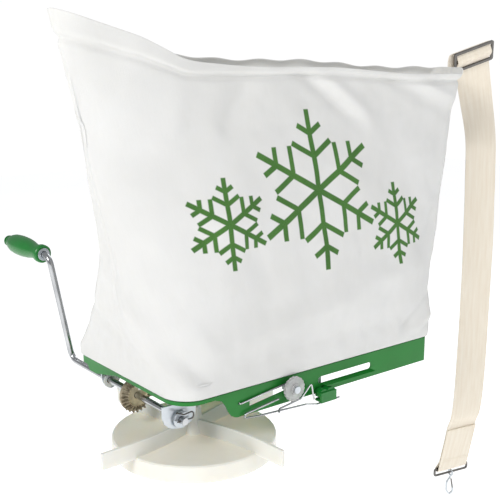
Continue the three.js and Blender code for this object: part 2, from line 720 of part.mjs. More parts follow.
const clusterBottom = SHAFT.z + CRANK_PITCH * 0.62;
add('cluster_stub', stub(CLUSTER, clusterBottom, SPUR_BAND.top + CLEAR + 0.6), ...steel);
add('idler_gear', spurGear(TEETH.idler, MODULE_SPUR, SPUR_BAND.bottom, SPUR_BAND.top, 3.35,
  IDLER_PHASE).translate([IDLER.x, IDLER.y, 0]), '#d9dcde', 0.35, 0.8);
add('idler_stub', turned([
  [0, GEAR_PLATE.top - GEAR_PLATE.sheet - 0.4], [2.4, GEAR_PLATE.top - GEAR_PLATE.sheet - 0.4],
  [2.4, GEAR_PLATE.top + CLEAR], [3, GEAR_PLATE.top + CLEAR],
  [3, SPUR_BAND.top + 1], [5, SPUR_BAND.top + 1], [5, FLOOR_UNDER - CLEAR],
  [3, FLOOR_UNDER - CLEAR], [3, PAN.top + CLEAR], [5, PAN.top + CLEAR], [4.4, PAN.top + 1.8],
  [0, PAN.top + 2.2],
], 14).translate(IDLER.x, IDLER.y, 0), ...steel);
add('impeller_pinion', spurGear(TEETH.impeller, MODULE_SPUR, SPUR_BAND.bottom, SPUR_BAND.top,
  IMPELLER_SHAFT.radius + CLEAR, IMPELLER_GEAR_PHASE).translate([IMPELLER.x, IMPELLER.y, 0]),
'#d9dcde', 0.35, 0.8);

// Plate under the spur gears, hung from the floor on three posts.
function gearPlate() {
  const plate = roundedPlate(24, 38, 80, 84, 7);
  const bottom = GEAR_PLATE.top - GEAR_PLATE.sheet;
  return cut(raised(plate, bottom, GEAR_PLATE.top),
    ...POSTS.map(([x, y]) => upright(x, y, bottom - 1, GEAR_PLATE.top + 1, RIVET.hole, 12)),
    upright(IDLER.x, IDLER.y, bottom - 1, GEAR_PLATE.top + 1, 2.75, 16),
    upright(IMPELLER.x, IMPELLER.y, bottom - 1, GEAR_PLATE.top + 1, 5.9, 20));
}

add('gear_plate', gearPlate(), ...zinc);
POSTS.forEach(([x, y], k) => {
  const low = GEAR_PLATE.top - GEAR_PLATE.sheet;
  const post = turned([
    [0, low - 1.6], [4, low - 1.6], [4, low - CLEAR], [2, low - CLEAR],
    [2, GEAR_PLATE.top + CLEAR], [3.6, GEAR_PLATE.top + CLEAR], [3.6, FLOOR_UNDER - CLEAR],
    [2, FLOOR_UNDER - CLEAR], [2, PAN.top + CLEAR], [4, PAN.top + CLEAR], [3.2, PAN.top + 1.5],
    [0, PAN.top + 1.7],
  ], 10).translate(x, y, 0);
  add(`gear_plate_post_${k + 1}`, post, ...steel);
});

// ---- Impeller -----------------------------------------------------------------------------

add('impeller_shaft', upright(IMPELLER.x, IMPELLER.y, IMPELLER_SHAFT.bottom, IMPELLER_SHAFT.top,
  IMPELLER_SHAFT.radius, 16), ...steel);

function flangedBush(x, y, seat, sheet, up) {
  const bore = IMPELLER_SHAFT.radius + CLEAR;
  const head = up ? [seat + CLEAR, seat + 1.8] : [seat - sheet - 1.8, seat - sheet - CLEAR];
  const sleeve = up ? [seat - sheet - 1.4, seat + CLEAR] : [seat - sheet - CLEAR, seat + 1.6];
  const profile = up
    ? [[bore, sleeve[0]], [5.5, sleeve[0]], [5.5, head[0]], [9, head[0]], [9, head[1]],
      [bore, head[1]]]
    : [[bore, head[0]], [9, head[0]], [9, head[1]], [5.5, head[1]], [5.5, sleeve[1]],
      [bore, sleeve[1]]];
  return turned(profile, 16).translate(x, y, 0);
}

const brass = [BRASS_ZINC, 0.4, 0.8];
add('floor_bush', flangedBush(IMPELLER.x, IMPELLER.y, PAN.top, PAN.sheet, true), ...brass);
add('gear_plate_bush', flangedBush(IMPELLER.x, IMPELLER.y, GEAR_PLATE.top, GEAR_PLATE.sheet,
  false), ...brass);

// Disc with a turned-down skirt, a conical hub and curved blades that run past the rim.
function impeller() {
  const { top, radius, skirt, reach } = IMPELLER;
  const bore = IMPELLER_SHAFT.radius + CLEAR;
  const hubTop = -31;
  const sheet = 2.6;
  const profile = [
    [bore, top - 16], [8, top - 16], [8.5, top - sheet], [radius - sheet - 1, top - sheet],
    [radius - sheet, top - skirt], [radius, top - skirt], [radius, top - 1.5], [radius - 1.5, top],
    [13, top], [9, top + 13], [6.8, hubTop], [bore, hubTop],
  ];
  const blade = [[5, 2], [22, -2], [42, -7], [80, -11], [reach, -10]];
  const line = new THREE.SplineCurve(blade.map(([x, y]) => new THREE.Vector2(x, -y)));
  const half = VANE.thickness / 2;
  const near = [];
  const far = [];
  for (let k = 0; k <= 10; k += 1) {
    const at = line.getPoint(k / 10);
    const along = line.getTangent(k / 10);
    near.push([at.x + along.y * half, at.y - along.x * half]);
    far.unshift([at.x - along.y * half, at.y + along.x * half]);
  }
  const blades = [];
  for (let k = 0; k < VANE.count; k += 1) {
    const turn = THREE.MathUtils.degToRad(VANE.lead + 180) + (k * 2 * Math.PI) / VANE.count;
    const tall = raised(polygon([...near, ...far]), top - 1.2, top + VANE.height).rotateZ(turn);
    blades.push(tall);
  }
  const whole = join(turned(profile, 40), ...blades);
  return cut(whole, upright(0, 0, top - 17, hubTop + 1, bore, 20))
    .translate([IMPELLER.x, IMPELLER.y, 0]);
}

add('impeller', impeller(), WHITE_PLASTIC, 0.45, 0);

function hexNut(x, y, bottom, top, across, bore) {
  return cut(upright(x, y, bottom, top, across / Math.sqrt(3), 6),
    upright(x, y, bottom - 1, top + 1, bore, 16));
}

add('impeller_nut', hexNut(IMPELLER.x, IMPELLER.y, -82.6, -77.4, 11, IMPELLER_SHAFT.radius + 0.32),
  ...zinc);

// Stirring finger on the top of the impeller shaft, inside the hopper.
const agitatorHub = cut(
  join(upright(0, 0, 14, 26, 7, 20), new THREE.CylinderGeometry(2.2, 2.2, 24, 10)
    .rotateZ(Math.PI / 2).translate(17, 0, 20), upright(27, 0, 14.4, 22, 2.2, 10)),
  upright(0, 0, 13, 27, IMPELLER_SHAFT.radius + CLEAR, 16));
add('agitator', agitatorHub.rotate([0, 0, 40]).translate([IMPELLER.x, IMPELLER.y, 0]),
  WHITE_PLASTIC, 0.5, 0);

// ---- Gate ---------------------------------------------------------------------------------

const GATE = { left: 78, right: 140, bottom: 5.4, top: 7.2, linkX: 186 };

// Z-shaped rail under the floor that carries one edge of the gate.
function gateGuide(edge, inward) {
  const reach = 7 * inward;
  const lip = (a, b) => [Math.min(a, b), Math.max(a, b)];
  return join(
    block(GUIDES.start, GUIDES.end, ...lip(edge, edge - 1.6 * inward), 3.4, FLOOR_UNDER - CLEAR),
    block(GUIDES.start, GUIDES.end, ...lip(edge - 1.6 * inward, edge + reach), 3.4, 4.9),
    block(GUIDES.start, GUIDES.end, ...lip(edge - 1.6 * inward, edge - 9 * inward),
      FLOOR_UNDER - CLEAR - 1.6, FLOOR_UNDER - CLEAR));
}

add('gate_guide_front', gateGuide(GUIDES.front, 1), ...zinc);
add('gate_guide_rear', gateGuide(GUIDES.rear, -1), ...zinc);

// Flat gate with a link that runs forward, down behind the apron and out under its edge.
function gatePlate() {
  const plate = roundedPlate(GATE.left, GUIDES.front + 0.6, GATE.right + 56, GUIDES.rear - 0.6, 3);
  const link = [GATE.linkX - 5, GATE.linkX + 5];
  return join(
    raised(plate, GATE.bottom, GATE.top),
    block(...link, 62, 80, GATE.bottom - 4.6, GATE.bottom + 0.2),
    block(...link, 6, 80, GATE.bottom - 4.6, GATE.bottom - 2.9),
    block(...link, 6, 7.8, -33.6, GATE.bottom - 2.9),
    block(...link, -9, 7.8, -33.6, -31.8));
}

add('gate_plate', gatePlate(), ...zinc);

// Moulded finger piece on the front end of the link.
function gateLever() {
  const shape = new THREE.Shape();
  shape.moveTo(-11, -31.4);
  shape.lineTo(-11, -26);
  shape.quadraticCurveTo(-9, -22.6, -4, -23);
  shape.quadraticCurveTo(-1, -25.6, 2, -23.2);
  shape.quadraticCurveTo(8, -22.4, 11, -26);
  shape.lineTo(11, -31.4);
  const lobes = facingFront(shape, -10.5, -2.2, 8).translate(GATE.linkX, 0, 0);
  const foot = facingFront(roundedPlate(-11, -37.4, 11, -34, 1.5), -10.5, -2.2, 6)
    .translate(GATE.linkX, 0, 0);
  const front = block(GATE.linkX - 11, GATE.linkX + 11, -12.6, -9.6, -37.4, -26);
  return join(lobes, foot, front);
}

add('gate_lever', gateLever(), GRIP_GREEN, 0.45, 0);

// Sprung wire from the gate lever, along the apron's lower edge and back up to the rate stop.
const gateWireRoute = roundedRoute([
  [206, -7.5, -38.9], [172, -7.5, -38.9], [160, -3.4, -37.4], [96, -3.4, -33.6],
  [75.4, -3.4, -31.4], [78.5, -3.4, -27.2], [122, -3.4, -21.6],
], 1.9, 4);
add('gate_wire', rod(gateWireRoute, 1.1, 8), ...steel);

// ---- Rate stop ----------------------------------------------------------------------------

const rateRodCorners = RATE_ROD.ends.map((x) => [3.4, -1.9].map(
  (y) => [x, y, stopLine(x) + RATE_ROD.above]));
add('rate_rod', wire([...rateRodCorners[0], ...rateRodCorners[1].reverse()],
  RATE_ROD.radius, 1.6), ...steel);

// Lobed clear thumb wheel on the stop screw.
function thumbWheel() {
  const edge = [];
  const lobes = 18;
  for (let k = 0; k < lobes * 3; k += 1) {
    const angle = (k * 2 * Math.PI) / (lobes * 3);
    const r = STOP.radius - (k % 3 === 0 ? 0.7 : 0);
    edge.push([r * Math.cos(angle), r * Math.sin(angle)]);
  }
  const disc = facingFront(polygon(edge), -11.4, -7.6);
  return cut(join(disc, lengthwise(0, 0, -13, -7.6, 6, 20)), lengthwise(0, 0, -14, -6, 2.35, 14))
    .translate([STOP.x, 0, STOP.z]);
}

add('rate_thumb_wheel', thumbWheel(), '#dfe0e2', 0.15, 0.2);
const screw = join(
  lengthwise(STOP.x, STOP.z, -15.6, -13.3, 4, 20),
  lengthwise(STOP.x, STOP.z, -13.4, 10.5, 2, 14));
add('rate_screw', screw, ...zinc);
add('rate_clamp_nut', cut(block(STOP.x - 4.4, STOP.x + 4.4, 2.2, 5.6, STOP.z - 4, STOP.z + 4),
  lengthwise(STOP.x, STOP.z, 1, 7, 2.35, 14)), ...zinc);

// Bent wire under the thumb wheel, whose down-turned leg stops the lever.
const stopWireRoute = roundedRoute([
  [118.7, -8.5, -34.6], [121, -6.2, -31.6], [151, -6.2, -27.6], [165.6, -6.2, -13.6],
  [169.6, -6.2, -33],
], 1.6, 4);
const clampEye = washer(STOP.x, STOP.z, -7.1, -5.7, 2.35, 5.4);
const eyeLeg = block(STOP.x - 1, STOP.x + 1, -6.9, -5.7, -29, STOP.z - 4.6);
add('rate_stop_wire', join(rod(stopWireRoute, 1.1, 8), clampEye, eyeLeg), ...steel);

// ---- Shoulder strap -----------------------------------------------------------------------

const strapGroup = new THREE.Group();
strapGroup.position.set(STRAP.x, STRAP.y, 0);
strapGroup.rotation.z = THREE.MathUtils.degToRad(STRAP.turn);
spreader.add(strapGroup);

// The top of the strap hangs askew: the buckle leans forward and its right end is lifted.
const LEAN = { roll: -19, pitch: 23, shift: -7.6, pivot: [0, 18, 314] };

function leaning(geometry, shareAt) {
  const pivot = new THREE.Vector3(...LEAN.pivot);
  const points = geometry.attributes.position;
  const point = new THREE.Vector3();
  for (let i = 0; i < points.count; i += 1) {
    point.fromBufferAttribute(points, i);
    const share = THREE.MathUtils.smoothstep(shareAt(point), 0, 1);
    const turn = new THREE.Euler(THREE.MathUtils.degToRad(LEAN.pitch * share),
      THREE.MathUtils.degToRad(LEAN.roll * share), 0);
    point.sub(pivot).applyEuler(turn).add(pivot);
    points.setXYZ(i, point.x + LEAN.shift * share, point.y, point.z);
  }
  return geometry;
}

// The strap runs behind the buckle's outer bars and in front of its middle bar.
const BUCKLE = { half: [30, 14], rail: 3.6, bar: 1.4, y: 17, z: 326, thickness: 2 };
const BAR_AT = [29.5, -252];
const behind = 19.4;
const ahead = 14.5;
const strapLine = new THREE.SplineCurve([
  [behind, 339.5], [behind, 336.2], [16.9, 331.8], [ahead, 327.6], [ahead, 324.4],
  [16.9, 320.2], [behind, 315.8], [behind, 311.4], [16.8, 300], [9.5, 264], [4, 222],
  [0, 139], [-2, 40], [1, -130], [12, -192], [26.1, -252.8],
].map(([y, z]) => new THREE.Vector2(y, z)));
const halfWidth = STRAP.width / 2;

// The strap's middle line seen from its edge: down, round the wire link and up the sewn tail.
const LOOP = { radius: 3.5, steps: 10, tailFrom: 0.922, tailSteps: 4 };
function strapRoute(steps) {
  const beside = (at, away) => {
    const spot = strapLine.getPoint(at);
    const t = strapLine.getTangent(at);
    return [spot.x - t.y * away, spot.y + t.x * away];
  };
  const main = Array.from({ length: steps }, (_, k) => beside(k / steps, 0));
  const down = strapLine.getTangent(1);
  const start = Math.atan2(-down.x, down.y) + Math.PI * 2;
  const loop = Array.from({ length: LOOP.steps + 1 }, (_, k) => {
    const angle = start + (Math.PI * k) / LOOP.steps;
    return [
      BAR_AT[0] + LOOP.radius * Math.cos(angle), BAR_AT[1] + LOOP.radius * Math.sin(angle),
    ];
  });
  const tailStep = (1 - LOOP.tailFrom) / LOOP.tailSteps;
  const tail = Array.from({ length: LOOP.tailSteps }, (_, k) => (
    beside(1 - tailStep * (k + 1), STRAP.thickness + CLEAR)));
  return [...main, ...loop, ...tail];
}

// Webbing lying flat along X about a line in Y and Z.
function webbing(line) {
  const half = STRAP.thickness / 2;
  const sections = line.map(([y, z], k) => {
    const [y0, z0] = line[Math.max(k - 1, 0)];
    const [y1, z1] = line[Math.min(k + 1, line.length - 1)];
    const scale = half / Math.hypot(y1 - y0, z1 - z0);
    const [ny, nz] = [(z0 - z1) * scale, (y1 - y0) * scale];
    return [
      [-halfWidth, y + ny, z + nz], [halfWidth, y + ny, z + nz],
      [halfWidth, y - ny, z - nz], [-halfWidth, y - ny, z - nz],
    ];
  });
  const positions = [];
  const face = (a, b, c, d) => positions.push(...[a, b, c, a, c, d].flat());
  for (let k = 1; k < sections.length; k += 1) {
    const [before, after] = [sections[k - 1], sections[k]];
    for (let side = 0; side < 4; side += 1) {
      const next = (side + 1) % 4;
      face(before[side], before[next], after[next], after[side]);
    }
  }
  face(...sections[0].slice().reverse());
  face(...sections[sections.length - 1]);
  const geometry = new THREE.BufferGeometry();
  geometry.setAttribute('position', new THREE.Float32BufferAttribute(positions, 3));
  return geometry;
}

const strapBody = closed(webbing(strapRoute(60)));
add('shoulder_strap', leaning(strapBody, (at) => (at.z - 205) / 100),
  WEBBING, 0.95, 0, strapGroup);

// Slide buckle: a flat frame with two windows and a bar between them.
const [buckleX, buckleUp] = BUCKLE.half;
const windowX = buckleX - BUCKLE.rail;
const windowUp = buckleUp - BUCKLE.rail;
const buckleFrame = roundedPlate(-buckleX, -buckleUp, buckleX, buckleUp, 3);
buckleFrame.holes.push(roundedPlate(-windowX, -windowUp, windowX, -BUCKLE.bar, 1.5));
buckleFrame.holes.push(roundedPlate(-windowX, BUCKLE.bar, windowX, windowUp, 1.5));
const buckle = facingFront(buckleFrame, BUCKLE.y - BUCKLE.thickness / 2,
  BUCKLE.y + BUCKLE.thickness / 2).translate(0, 0, BUCKLE.z);
add('slide_buckle', leaning(geometryOf(buckle), () => 1), DARK_STEEL, 0.35, 0.9, strapGroup);

// Short webbing sewn behind the strap's upper end, reaching round to the bag's top corner.
const anchorBack = [20.7, 22.5];
const anchorWing = polygon([
  [-66.5, -11.6], [-46, 10], [-33, anchorBack[0]], [-20, anchorBack[0]],
  [-20, anchorBack[1]], [-33.8, anchorBack[1]], [-47.4, 11.4], [-67.9, -10.2],
]);
const wing = closed(raised(anchorWing, 286, 308));
const wingPoints = wing.attributes.position;
for (let i = 0; i < wingPoints.count; i += 1) {
  const rise = THREE.MathUtils.clamp((wingPoints.getX(i) + 67) / 33, 0, 1);
  wingPoints.setZ(i, wingPoints.getZ(i) + 30 * rise);
}
const anchor = join(wing, block(-halfWidth, halfWidth, ...anchorBack, 316, 338));
add('strap_anchor', leaning(geometryOf(anchor), (at) => (at.x + 66) / 32),
  WEBBING, 0.95, 0, strapGroup);

// Wire link: its upper leg lies in the sewn loop and its lower leg carries the snap hook.
const [barY, barZ] = BAR_AT;
const LINK = { half: 29, drop: 9.4, radius: 1.6 };
const linkRoute = roundedRoute([
  [-0.5, barY, barZ], [LINK.half, barY, barZ], [LINK.half, barY, barZ - LINK.drop],
  [-LINK.half, barY, barZ - LINK.drop], [-LINK.half, barY, barZ], [-1.5, barY, barZ],
], 2.6, 4);
add('strap_link', rod(linkRoute, LINK.radius, 8), DARK_STEEL, 0.35, 0.9, strapGroup);

// Snap hook: an eye round the link's lower leg, a shank, and a bow closed by a sprung gate.
const HOOK = { wire: 1.3, eye: 4.2, eyeZ: barZ - LINK.drop - 0.95 };
const eye = new THREE.TorusGeometry(HOOK.eye, HOOK.wire, 8, 16).rotateY(Math.PI / 2)
  .translate(0, barY, HOOK.eyeZ);
const below = (x, drop) => [x, barY, HOOK.eyeZ - drop];
const hookRoute = roundedRoute([
  below(0, 3.9), below(0, 7.2), below(-6.2, 13.6), below(-6.2, 26.6), below(-0.8, 34.1),
  below(5.4, 30.6), below(5, 25.2),
], 2, 3);
add('snap_hook', join(eye, rod(hookRoute, HOOK.wire, 8)), ZINC, 0.3, 0.9, strapGroup);
add('snap_hook_gate', wire([below(1.7, 10.6), below(4.8, 24.6)], 1, 1), DARK_STEEL, 0.3, 0.9,
  strapGroup);

// ---- Placing ------------------------------------------------------------------------------

spreader.position.set(-PAN.length / 2, -PAN.depth, (PAN.apron - 1) / 2 + 1);

export default spreader;
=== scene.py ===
import json
from math import cos, pi, radians, sin

import bmesh
import bpy
import numpy as np
from mathutils import Matrix, Vector, noise


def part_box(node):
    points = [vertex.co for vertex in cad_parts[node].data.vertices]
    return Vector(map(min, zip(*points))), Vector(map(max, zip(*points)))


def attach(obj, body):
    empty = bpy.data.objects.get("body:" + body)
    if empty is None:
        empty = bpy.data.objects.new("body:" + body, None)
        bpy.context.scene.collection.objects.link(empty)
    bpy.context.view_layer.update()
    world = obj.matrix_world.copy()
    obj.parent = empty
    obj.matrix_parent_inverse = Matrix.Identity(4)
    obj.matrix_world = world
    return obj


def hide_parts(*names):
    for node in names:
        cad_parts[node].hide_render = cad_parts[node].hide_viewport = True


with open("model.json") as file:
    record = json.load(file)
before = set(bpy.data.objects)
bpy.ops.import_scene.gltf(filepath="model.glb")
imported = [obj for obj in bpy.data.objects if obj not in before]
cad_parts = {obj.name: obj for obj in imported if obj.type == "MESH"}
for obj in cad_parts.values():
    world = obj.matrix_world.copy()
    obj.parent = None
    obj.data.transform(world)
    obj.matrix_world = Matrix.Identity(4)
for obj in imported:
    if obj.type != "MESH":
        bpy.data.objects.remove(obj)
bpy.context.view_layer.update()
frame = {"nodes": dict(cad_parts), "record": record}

# Lengths are in millimetres from the pan's front left corner, as the CAD draws them, and turn
# into metres in the row frame here.
ORIGIN = np.array([178.0, 204.0, -15.5])
BODIES = frame["record"]["behaviour"]["bodies"]
BODY_OF = {node: body for body, nodes in BODIES.items() for node in nodes}
SLOT_OF = {part["node"]: part["material_slot"] for part in frame["record"]["subparts"]}


def to_row(points):
    return (np.asarray(points, float) - ORIGIN) / 1000


def smooth_step(share):
    return share ** 2 * (3 - 2 * share)


def travelled(points):
    """How far along a line of points each one lies."""
    steps = np.linalg.norm(np.diff(points, axis=0), axis=1)
    return np.concatenate([[0], np.cumsum(steps)])


def directions(line):
    way = np.gradient(line, axis=0)
    return way / np.linalg.norm(way, axis=1)[:, None]


# ---- Camera -------------------------------------------------------------------------------

CAMERA_PLACE = (-0.6558, -0.9226, 0.3683)
CAMERA_FORWARD = (0.602, 0.7666, -0.2234)
FOCAL_LENGTH = 68.0


def add_camera():
    data = bpy.data.cameras.new("camera")
    data.lens = FOCAL_LENGTH
    data.sensor_width = 36.0
    data.clip_start = 0.02
    data.clip_end = 60.0
    camera = bpy.data.objects.new("camera", data)
    forward = Vector(CAMERA_FORWARD).normalized()
    right = forward.cross(Vector((0, 0, 1))).normalized()
    up = right.cross(forward)
    turn = Matrix((right, up, -forward)).transposed().to_4x4()
    camera.matrix_world = Matrix.Translation(CAMERA_PLACE) @ turn
    bpy.context.scene.collection.objects.link(camera)
    bpy.context.scene.camera = camera


add_camera()


# ---- Shader helper ------------------------------------------------------------------------

class Shader:
    """A Principled material with the few nodes that its colour, roughness and bump need."""

    def __init__(self, name, **values):
        self.material = bpy.data.materials.new(name)
        self.material.use_nodes = True
        self.tree = self.material.node_tree
        self.surface = self.tree.nodes["Principled BSDF"]
        for socket, value in values.items():
            self.surface.inputs[socket.replace("_", " ")].default_value = value
        self.space = self.tree.nodes.new("ShaderNodeTexCoord")

    def node(self, kind, inputs=(), **settings):
        node = self.tree.nodes.new("ShaderNode" + kind)
        for name, value in settings.items():
            setattr(node, name, value)
        for key, value in dict(inputs).items():
            if isinstance(value, bpy.types.NodeSocket):
                self.tree.links.new(value, node.inputs[key])
            else:
                node.inputs[key].default_value = value
        return node

    def maths(self, operation, a, b=0.0, c=0.0):
        return self.node("Math", {0: a, 1: b, 2: c}, operation=operation).outputs[0]

    def scaled(self, scale, coordinates="Object"):
        return self.node("Mapping", {
            "Vector": self.space.outputs[coordinates], "Scale": scale}).outputs[0]

    def noise(self, scale, detail=3.0, stretch=(1, 1, 1), coordinates="Object", roughness=0.5):
        return self.node("TexNoise", {
            "Vector": self.scaled(stretch, coordinates), "Scale": scale, "Detail": detail,
            "Roughness": roughness}).outputs["Fac"]

    def wave(self, scale, axis, coordinates="UV", distortion=0.0):
        return self.node("TexWave", {
            "Vector": self.space.outputs[coordinates], "Scale": scale,
            "Distortion": distortion, "Detail": 2.0}, bands_direction=axis).outputs["Fac"]

    def ramp(self, factor, stops):
        """A colour that runs between two stops, each a place from 0 to 1 and its colour."""
        node = self.node("ValToRGB", {"Fac": factor})
        for element, (place, colour) in zip(node.color_ramp.elements, stops):
            element.position = place
            element.color = (*colour, 1)
        return node.outputs["Color"]

    def range(self, factor, low, high):
        return self.node("MapRange", {"Value": factor, "To Min": low, "To Max": high}).outputs[0]

    def mixed(self, factor, a, b):
        return self.node("Mix", {0: factor, 6: a, 7: b}, data_type="RGBA").outputs[2]

    def away_from(self, x, z):
        """Distances from the line through x and z along Y: sideways, upwards and straight."""
        place = self.node("SeparateXYZ", {0: self.space.outputs["Object"]})
        aside = self.maths("SUBTRACT", place.outputs[0], x)
        above = self.maths("SUBTRACT", place.outputs[2], z)
        squares = self.maths("ADD", self.maths("MULTIPLY", aside, aside),
                             self.maths("MULTIPLY", above, above))
        return aside, above, self.maths("SQRT", squares)

    def below(self, value, limit, edge):
        """1 where the value is under the limit and 0 over it, blended across twice the edge."""
        return self.node("MapRange", {"Value": value, "From Min": limit + edge,
                                      "From Max": limit - edge}).outputs[0]

    def into(self, socket, value):
        self.tree.links.new(value, self.surface.inputs[socket])

    def bump(self, *layers):
        """Layers of relief, each its height, the depth that it stands for and its strength."""
        normal = None
        for height, distance, strength in layers:
            inputs = {"Height": height, "Distance": distance, "Strength": strength}
            if normal:
                inputs["Normal"] = normal
            normal = self.node("Bump", inputs).outputs[0]
        self.into("Normal", normal)


def grey(value):
    return (value, value, value)


# ---- Materials ----------------------------------------------------------------------------
# The scales of noise and waves are per metre, and the depths of relief are in metres.

# Three plain six-armed crystals printed on the front: centre X and Z, arm length, line width.
CRYSTALS = [(0.016, 0.206, 0.084, 0.0066), (-0.100, 0.182, 0.046, 0.0052),
            (0.128, 0.158, 0.046, 0.0052)]
# The side branches of an arm: where each pair starts and how long it is, as shares of the arm.
BRANCHES = ((0.42, 0.36), (0.7, 0.22))
INK_EDGE = 0.0005


def green_paint():
    m = Shader("green_paint", Coat_Weight=0.08, Coat_Roughness=0.2, Specular_IOR_Level=0.32)
    broad = m.noise(14, 4)
    m.into("Base Color", m.ramp(broad, [(0.3, (0.007, 0.15, 0.016)), (0.72, (0.012, 0.21, 0.026))]))
    m.into("Roughness", m.range(m.noise(60, 3), 0.24, 0.42))
    m.bump((m.noise(420, 2), 0.00012, 0.35), (m.noise(26, 3), 0.0005, 0.12))
    return m.material


def canvas():
    m = Shader("canvas", Roughness=0.92, Sheen_Weight=0.05, Sheen_Roughness=0.5,
               Subsurface_Weight=0.45, Subsurface_Scale=0.004)
    m.surface.inputs["Subsurface Radius"].default_value = (1.0, 0.95, 0.85)
    cloth = m.ramp(m.noise(9, 5), [(0.25, (0.72, 0.715, 0.695)), (0.75, (0.80, 0.795, 0.78))])
    slubs = m.noise(1, 3, (900, 70, 1), "UV")
    cloth = m.mixed(m.range(slubs, 0, 0.25), cloth, (0.65, 0.64, 0.61, 1))
    marks = None
    for x, z, size, width in CRYSTALS:
        mark = snow_crystal(m, x, z, size, width)
        marks = mark if marks is None else m.maths("MAXIMUM", marks, mark)
    facing = m.node("Attribute", attribute_name="front_panel").outputs["Fac"]
    marks = m.maths("MULTIPLY", marks, facing)
    thin = m.range(m.noise(700, 2), 0.94, 1.0)
    ink = m.ramp(m.noise(40, 3), [(0.3, (0.03, 0.135, 0.006)), (0.7, (0.045, 0.175, 0.012))])
    m.into("Base Color", m.mixed(m.maths("MULTIPLY", marks, thin), cloth, ink))
    threads = m.maths("MULTIPLY", m.wave(330, "X"), m.wave(330, "Y"))
    m.bump((threads, 0.00025, 0.5), (m.noise(55, 4), 0.0012, 0.3), (slubs, 0.0002, 0.4))
    return m.material


def snow_crystal(m, x, z, size, width):
    """1 on the lines of one crystal: a sixth of it is folded over to make the rest."""
    aside, above, reach = m.away_from(x, z)
    angle = m.maths("ADD", m.maths("ARCTAN2", aside, above), 2 * pi)
    fold = m.maths("PINGPONG", angle, pi / 6)
    along = m.maths("MULTIPLY", reach, m.maths("COSINE", fold))
    across = m.maths("MULTIPLY", reach, m.maths("SINE", fold))

    shape = m.maths("MULTIPLY", m.below(across, width / 2, INK_EDGE),
                    m.below(along, size, INK_EDGE))
    for start, length in BRANCHES:
        ahead = m.maths("SUBTRACT", along, start * size)
        off = m.maths("ABSOLUTE", m.maths("SUBTRACT", m.maths("MULTIPLY", ahead, sin(pi / 3)),
                                          m.maths("MULTIPLY", across, cos(pi / 3))))
        run = m.maths("ADD", m.maths("MULTIPLY", ahead, cos(pi / 3)),
                      m.maths("MULTIPLY", across, sin(pi / 3)))
        branch = m.maths("MULTIPLY", m.below(off, width * 0.45, INK_EDGE),
                         m.below(run, length * size, INK_EDGE))
        shape = m.maths("MAXIMUM", shape, m.maths("MULTIPLY", branch,
                                                  m.maths("GREATER_THAN", run, -width)))
    return shape


def webbing():
    m = Shader("webbing", Roughness=0.9, Sheen_Weight=0.15, Sheen_Roughness=0.5)
    ribs = m.wave(190, "X")
    fine = m.wave(420, "Y", distortion=0.6)
    tone = m.ramp(m.noise(1, 4, (240, 20, 1), "UV"), [
        (0.25, (0.86, 0.765, 0.63)), (0.75, (0.95, 0.885, 0.77))])
    m.into("Base Color", m.mixed(m.range(ribs, 0, 0.3), tone, (0.70, 0.60, 0.46, 1)))
    m.bump((ribs, 0.0004, 0.6), (fine, 0.0002, 0.5))
    return m.material


def metal(name, low, high, roughness, grain, stretch=(1, 1, 1), dents=0.15):
    m = Shader(name, Metallic=1.0)
    streaks = m.noise(grain, 4, stretch)
    m.into("Base Color", m.ramp(m.noise(30, 4), [(0.3, low), (0.7, high)]))
    m.into("Roughness", m.range(streaks, roughness * 0.7, roughness * 1.35))
    m.bump((streaks, 0.00008, dents), (m.noise(90, 3), 0.0003, dents * 0.6))
    return m.material


def gear_grime_and_shade():
    """Teeth darker than the flat tan web, as painted shade for the gaps between them, told apart by
    the distance from the shaft; the grime noise over both is dirt.
    """
    m = Shader("gear_grime_and_shade", Metallic=0.6)
    grime = m.noise(160, 5, roughness=0.65)
    low, high = np.array(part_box("crank_gear"))
    middle = (low + high) / 2
    outer = (high[0] - low[0]) / 2
    reach = m.away_from(middle[0], middle[2])[2]
    web = m.below(reach, outer * 0.615, outer * 0.015)
    # The dark teeth colour is painted shade standing in for the gaps between the teeth.
    teeth = m.ramp(grime, [(0.36, (0.13, 0.105, 0.07)), (0.6, (0.46, 0.40, 0.29))])
    flat = m.ramp(grime, [(0.3, (0.52, 0.44, 0.29)), (0.6, (0.74, 0.66, 0.47))])
    m.into("Base Color", m.mixed(web, teeth, flat))
    m.into("Roughness", m.range(grime, 0.65, 0.38))
    m.bump((m.noise(500, 3), 0.0002, 0.4), (grime, 0.0003, 0.3))
    return m.material


def green_plastic():
    m = Shader("green_plastic", Coat_Weight=0.12, Coat_Roughness=0.2)
    flow = m.noise(30, 3, (1, 0.3, 1))
    m.into("Base Color", m.ramp(flow, [(0.3, (0.004, 0.15, 0.018)), (0.72, (0.008, 0.22, 0.03))]))
    m.into("Roughness", m.range(m.noise(90, 3), 0.28, 0.44))
    m.bump((m.noise(600, 2), 0.0001, 0.3), (flow, 0.0004, 0.1))
    return m.material


def cream_plastic():
    m = Shader("cream_plastic", Subsurface_Weight=0.6, Subsurface_Scale=0.01, Coat_Weight=0.1)
    m.surface.inputs["Subsurface Radius"].default_value = (1.0, 0.8, 0.6)
    flow = m.noise(18, 3)
    m.into("Base Color", m.ramp(flow, [(0.3, (0.71, 0.70, 0.65)), (0.7, (0.77, 0.765, 0.72))]))
    m.into("Roughness", m.range(m.noise(70, 3), 0.3, 0.5))
    m.bump((m.noise(380, 2), 0.00012, 0.25), (m.noise(24, 2), 0.0006, 0.12))
    return m.material


def clear_plastic():
    m = Shader("clear_plastic", Transmission_Weight=0.55, IOR=1.49)
    m.into("Base Color", m.ramp(m.noise(120, 3), [(0.3, grey(0.62)), (0.7, grey(0.88))]))
    m.into("Roughness", m.range(m.noise(200, 3), 0.05, 0.22))
    m.bump((m.noise(220, 2), 0.0004, 0.35))
    return m.material


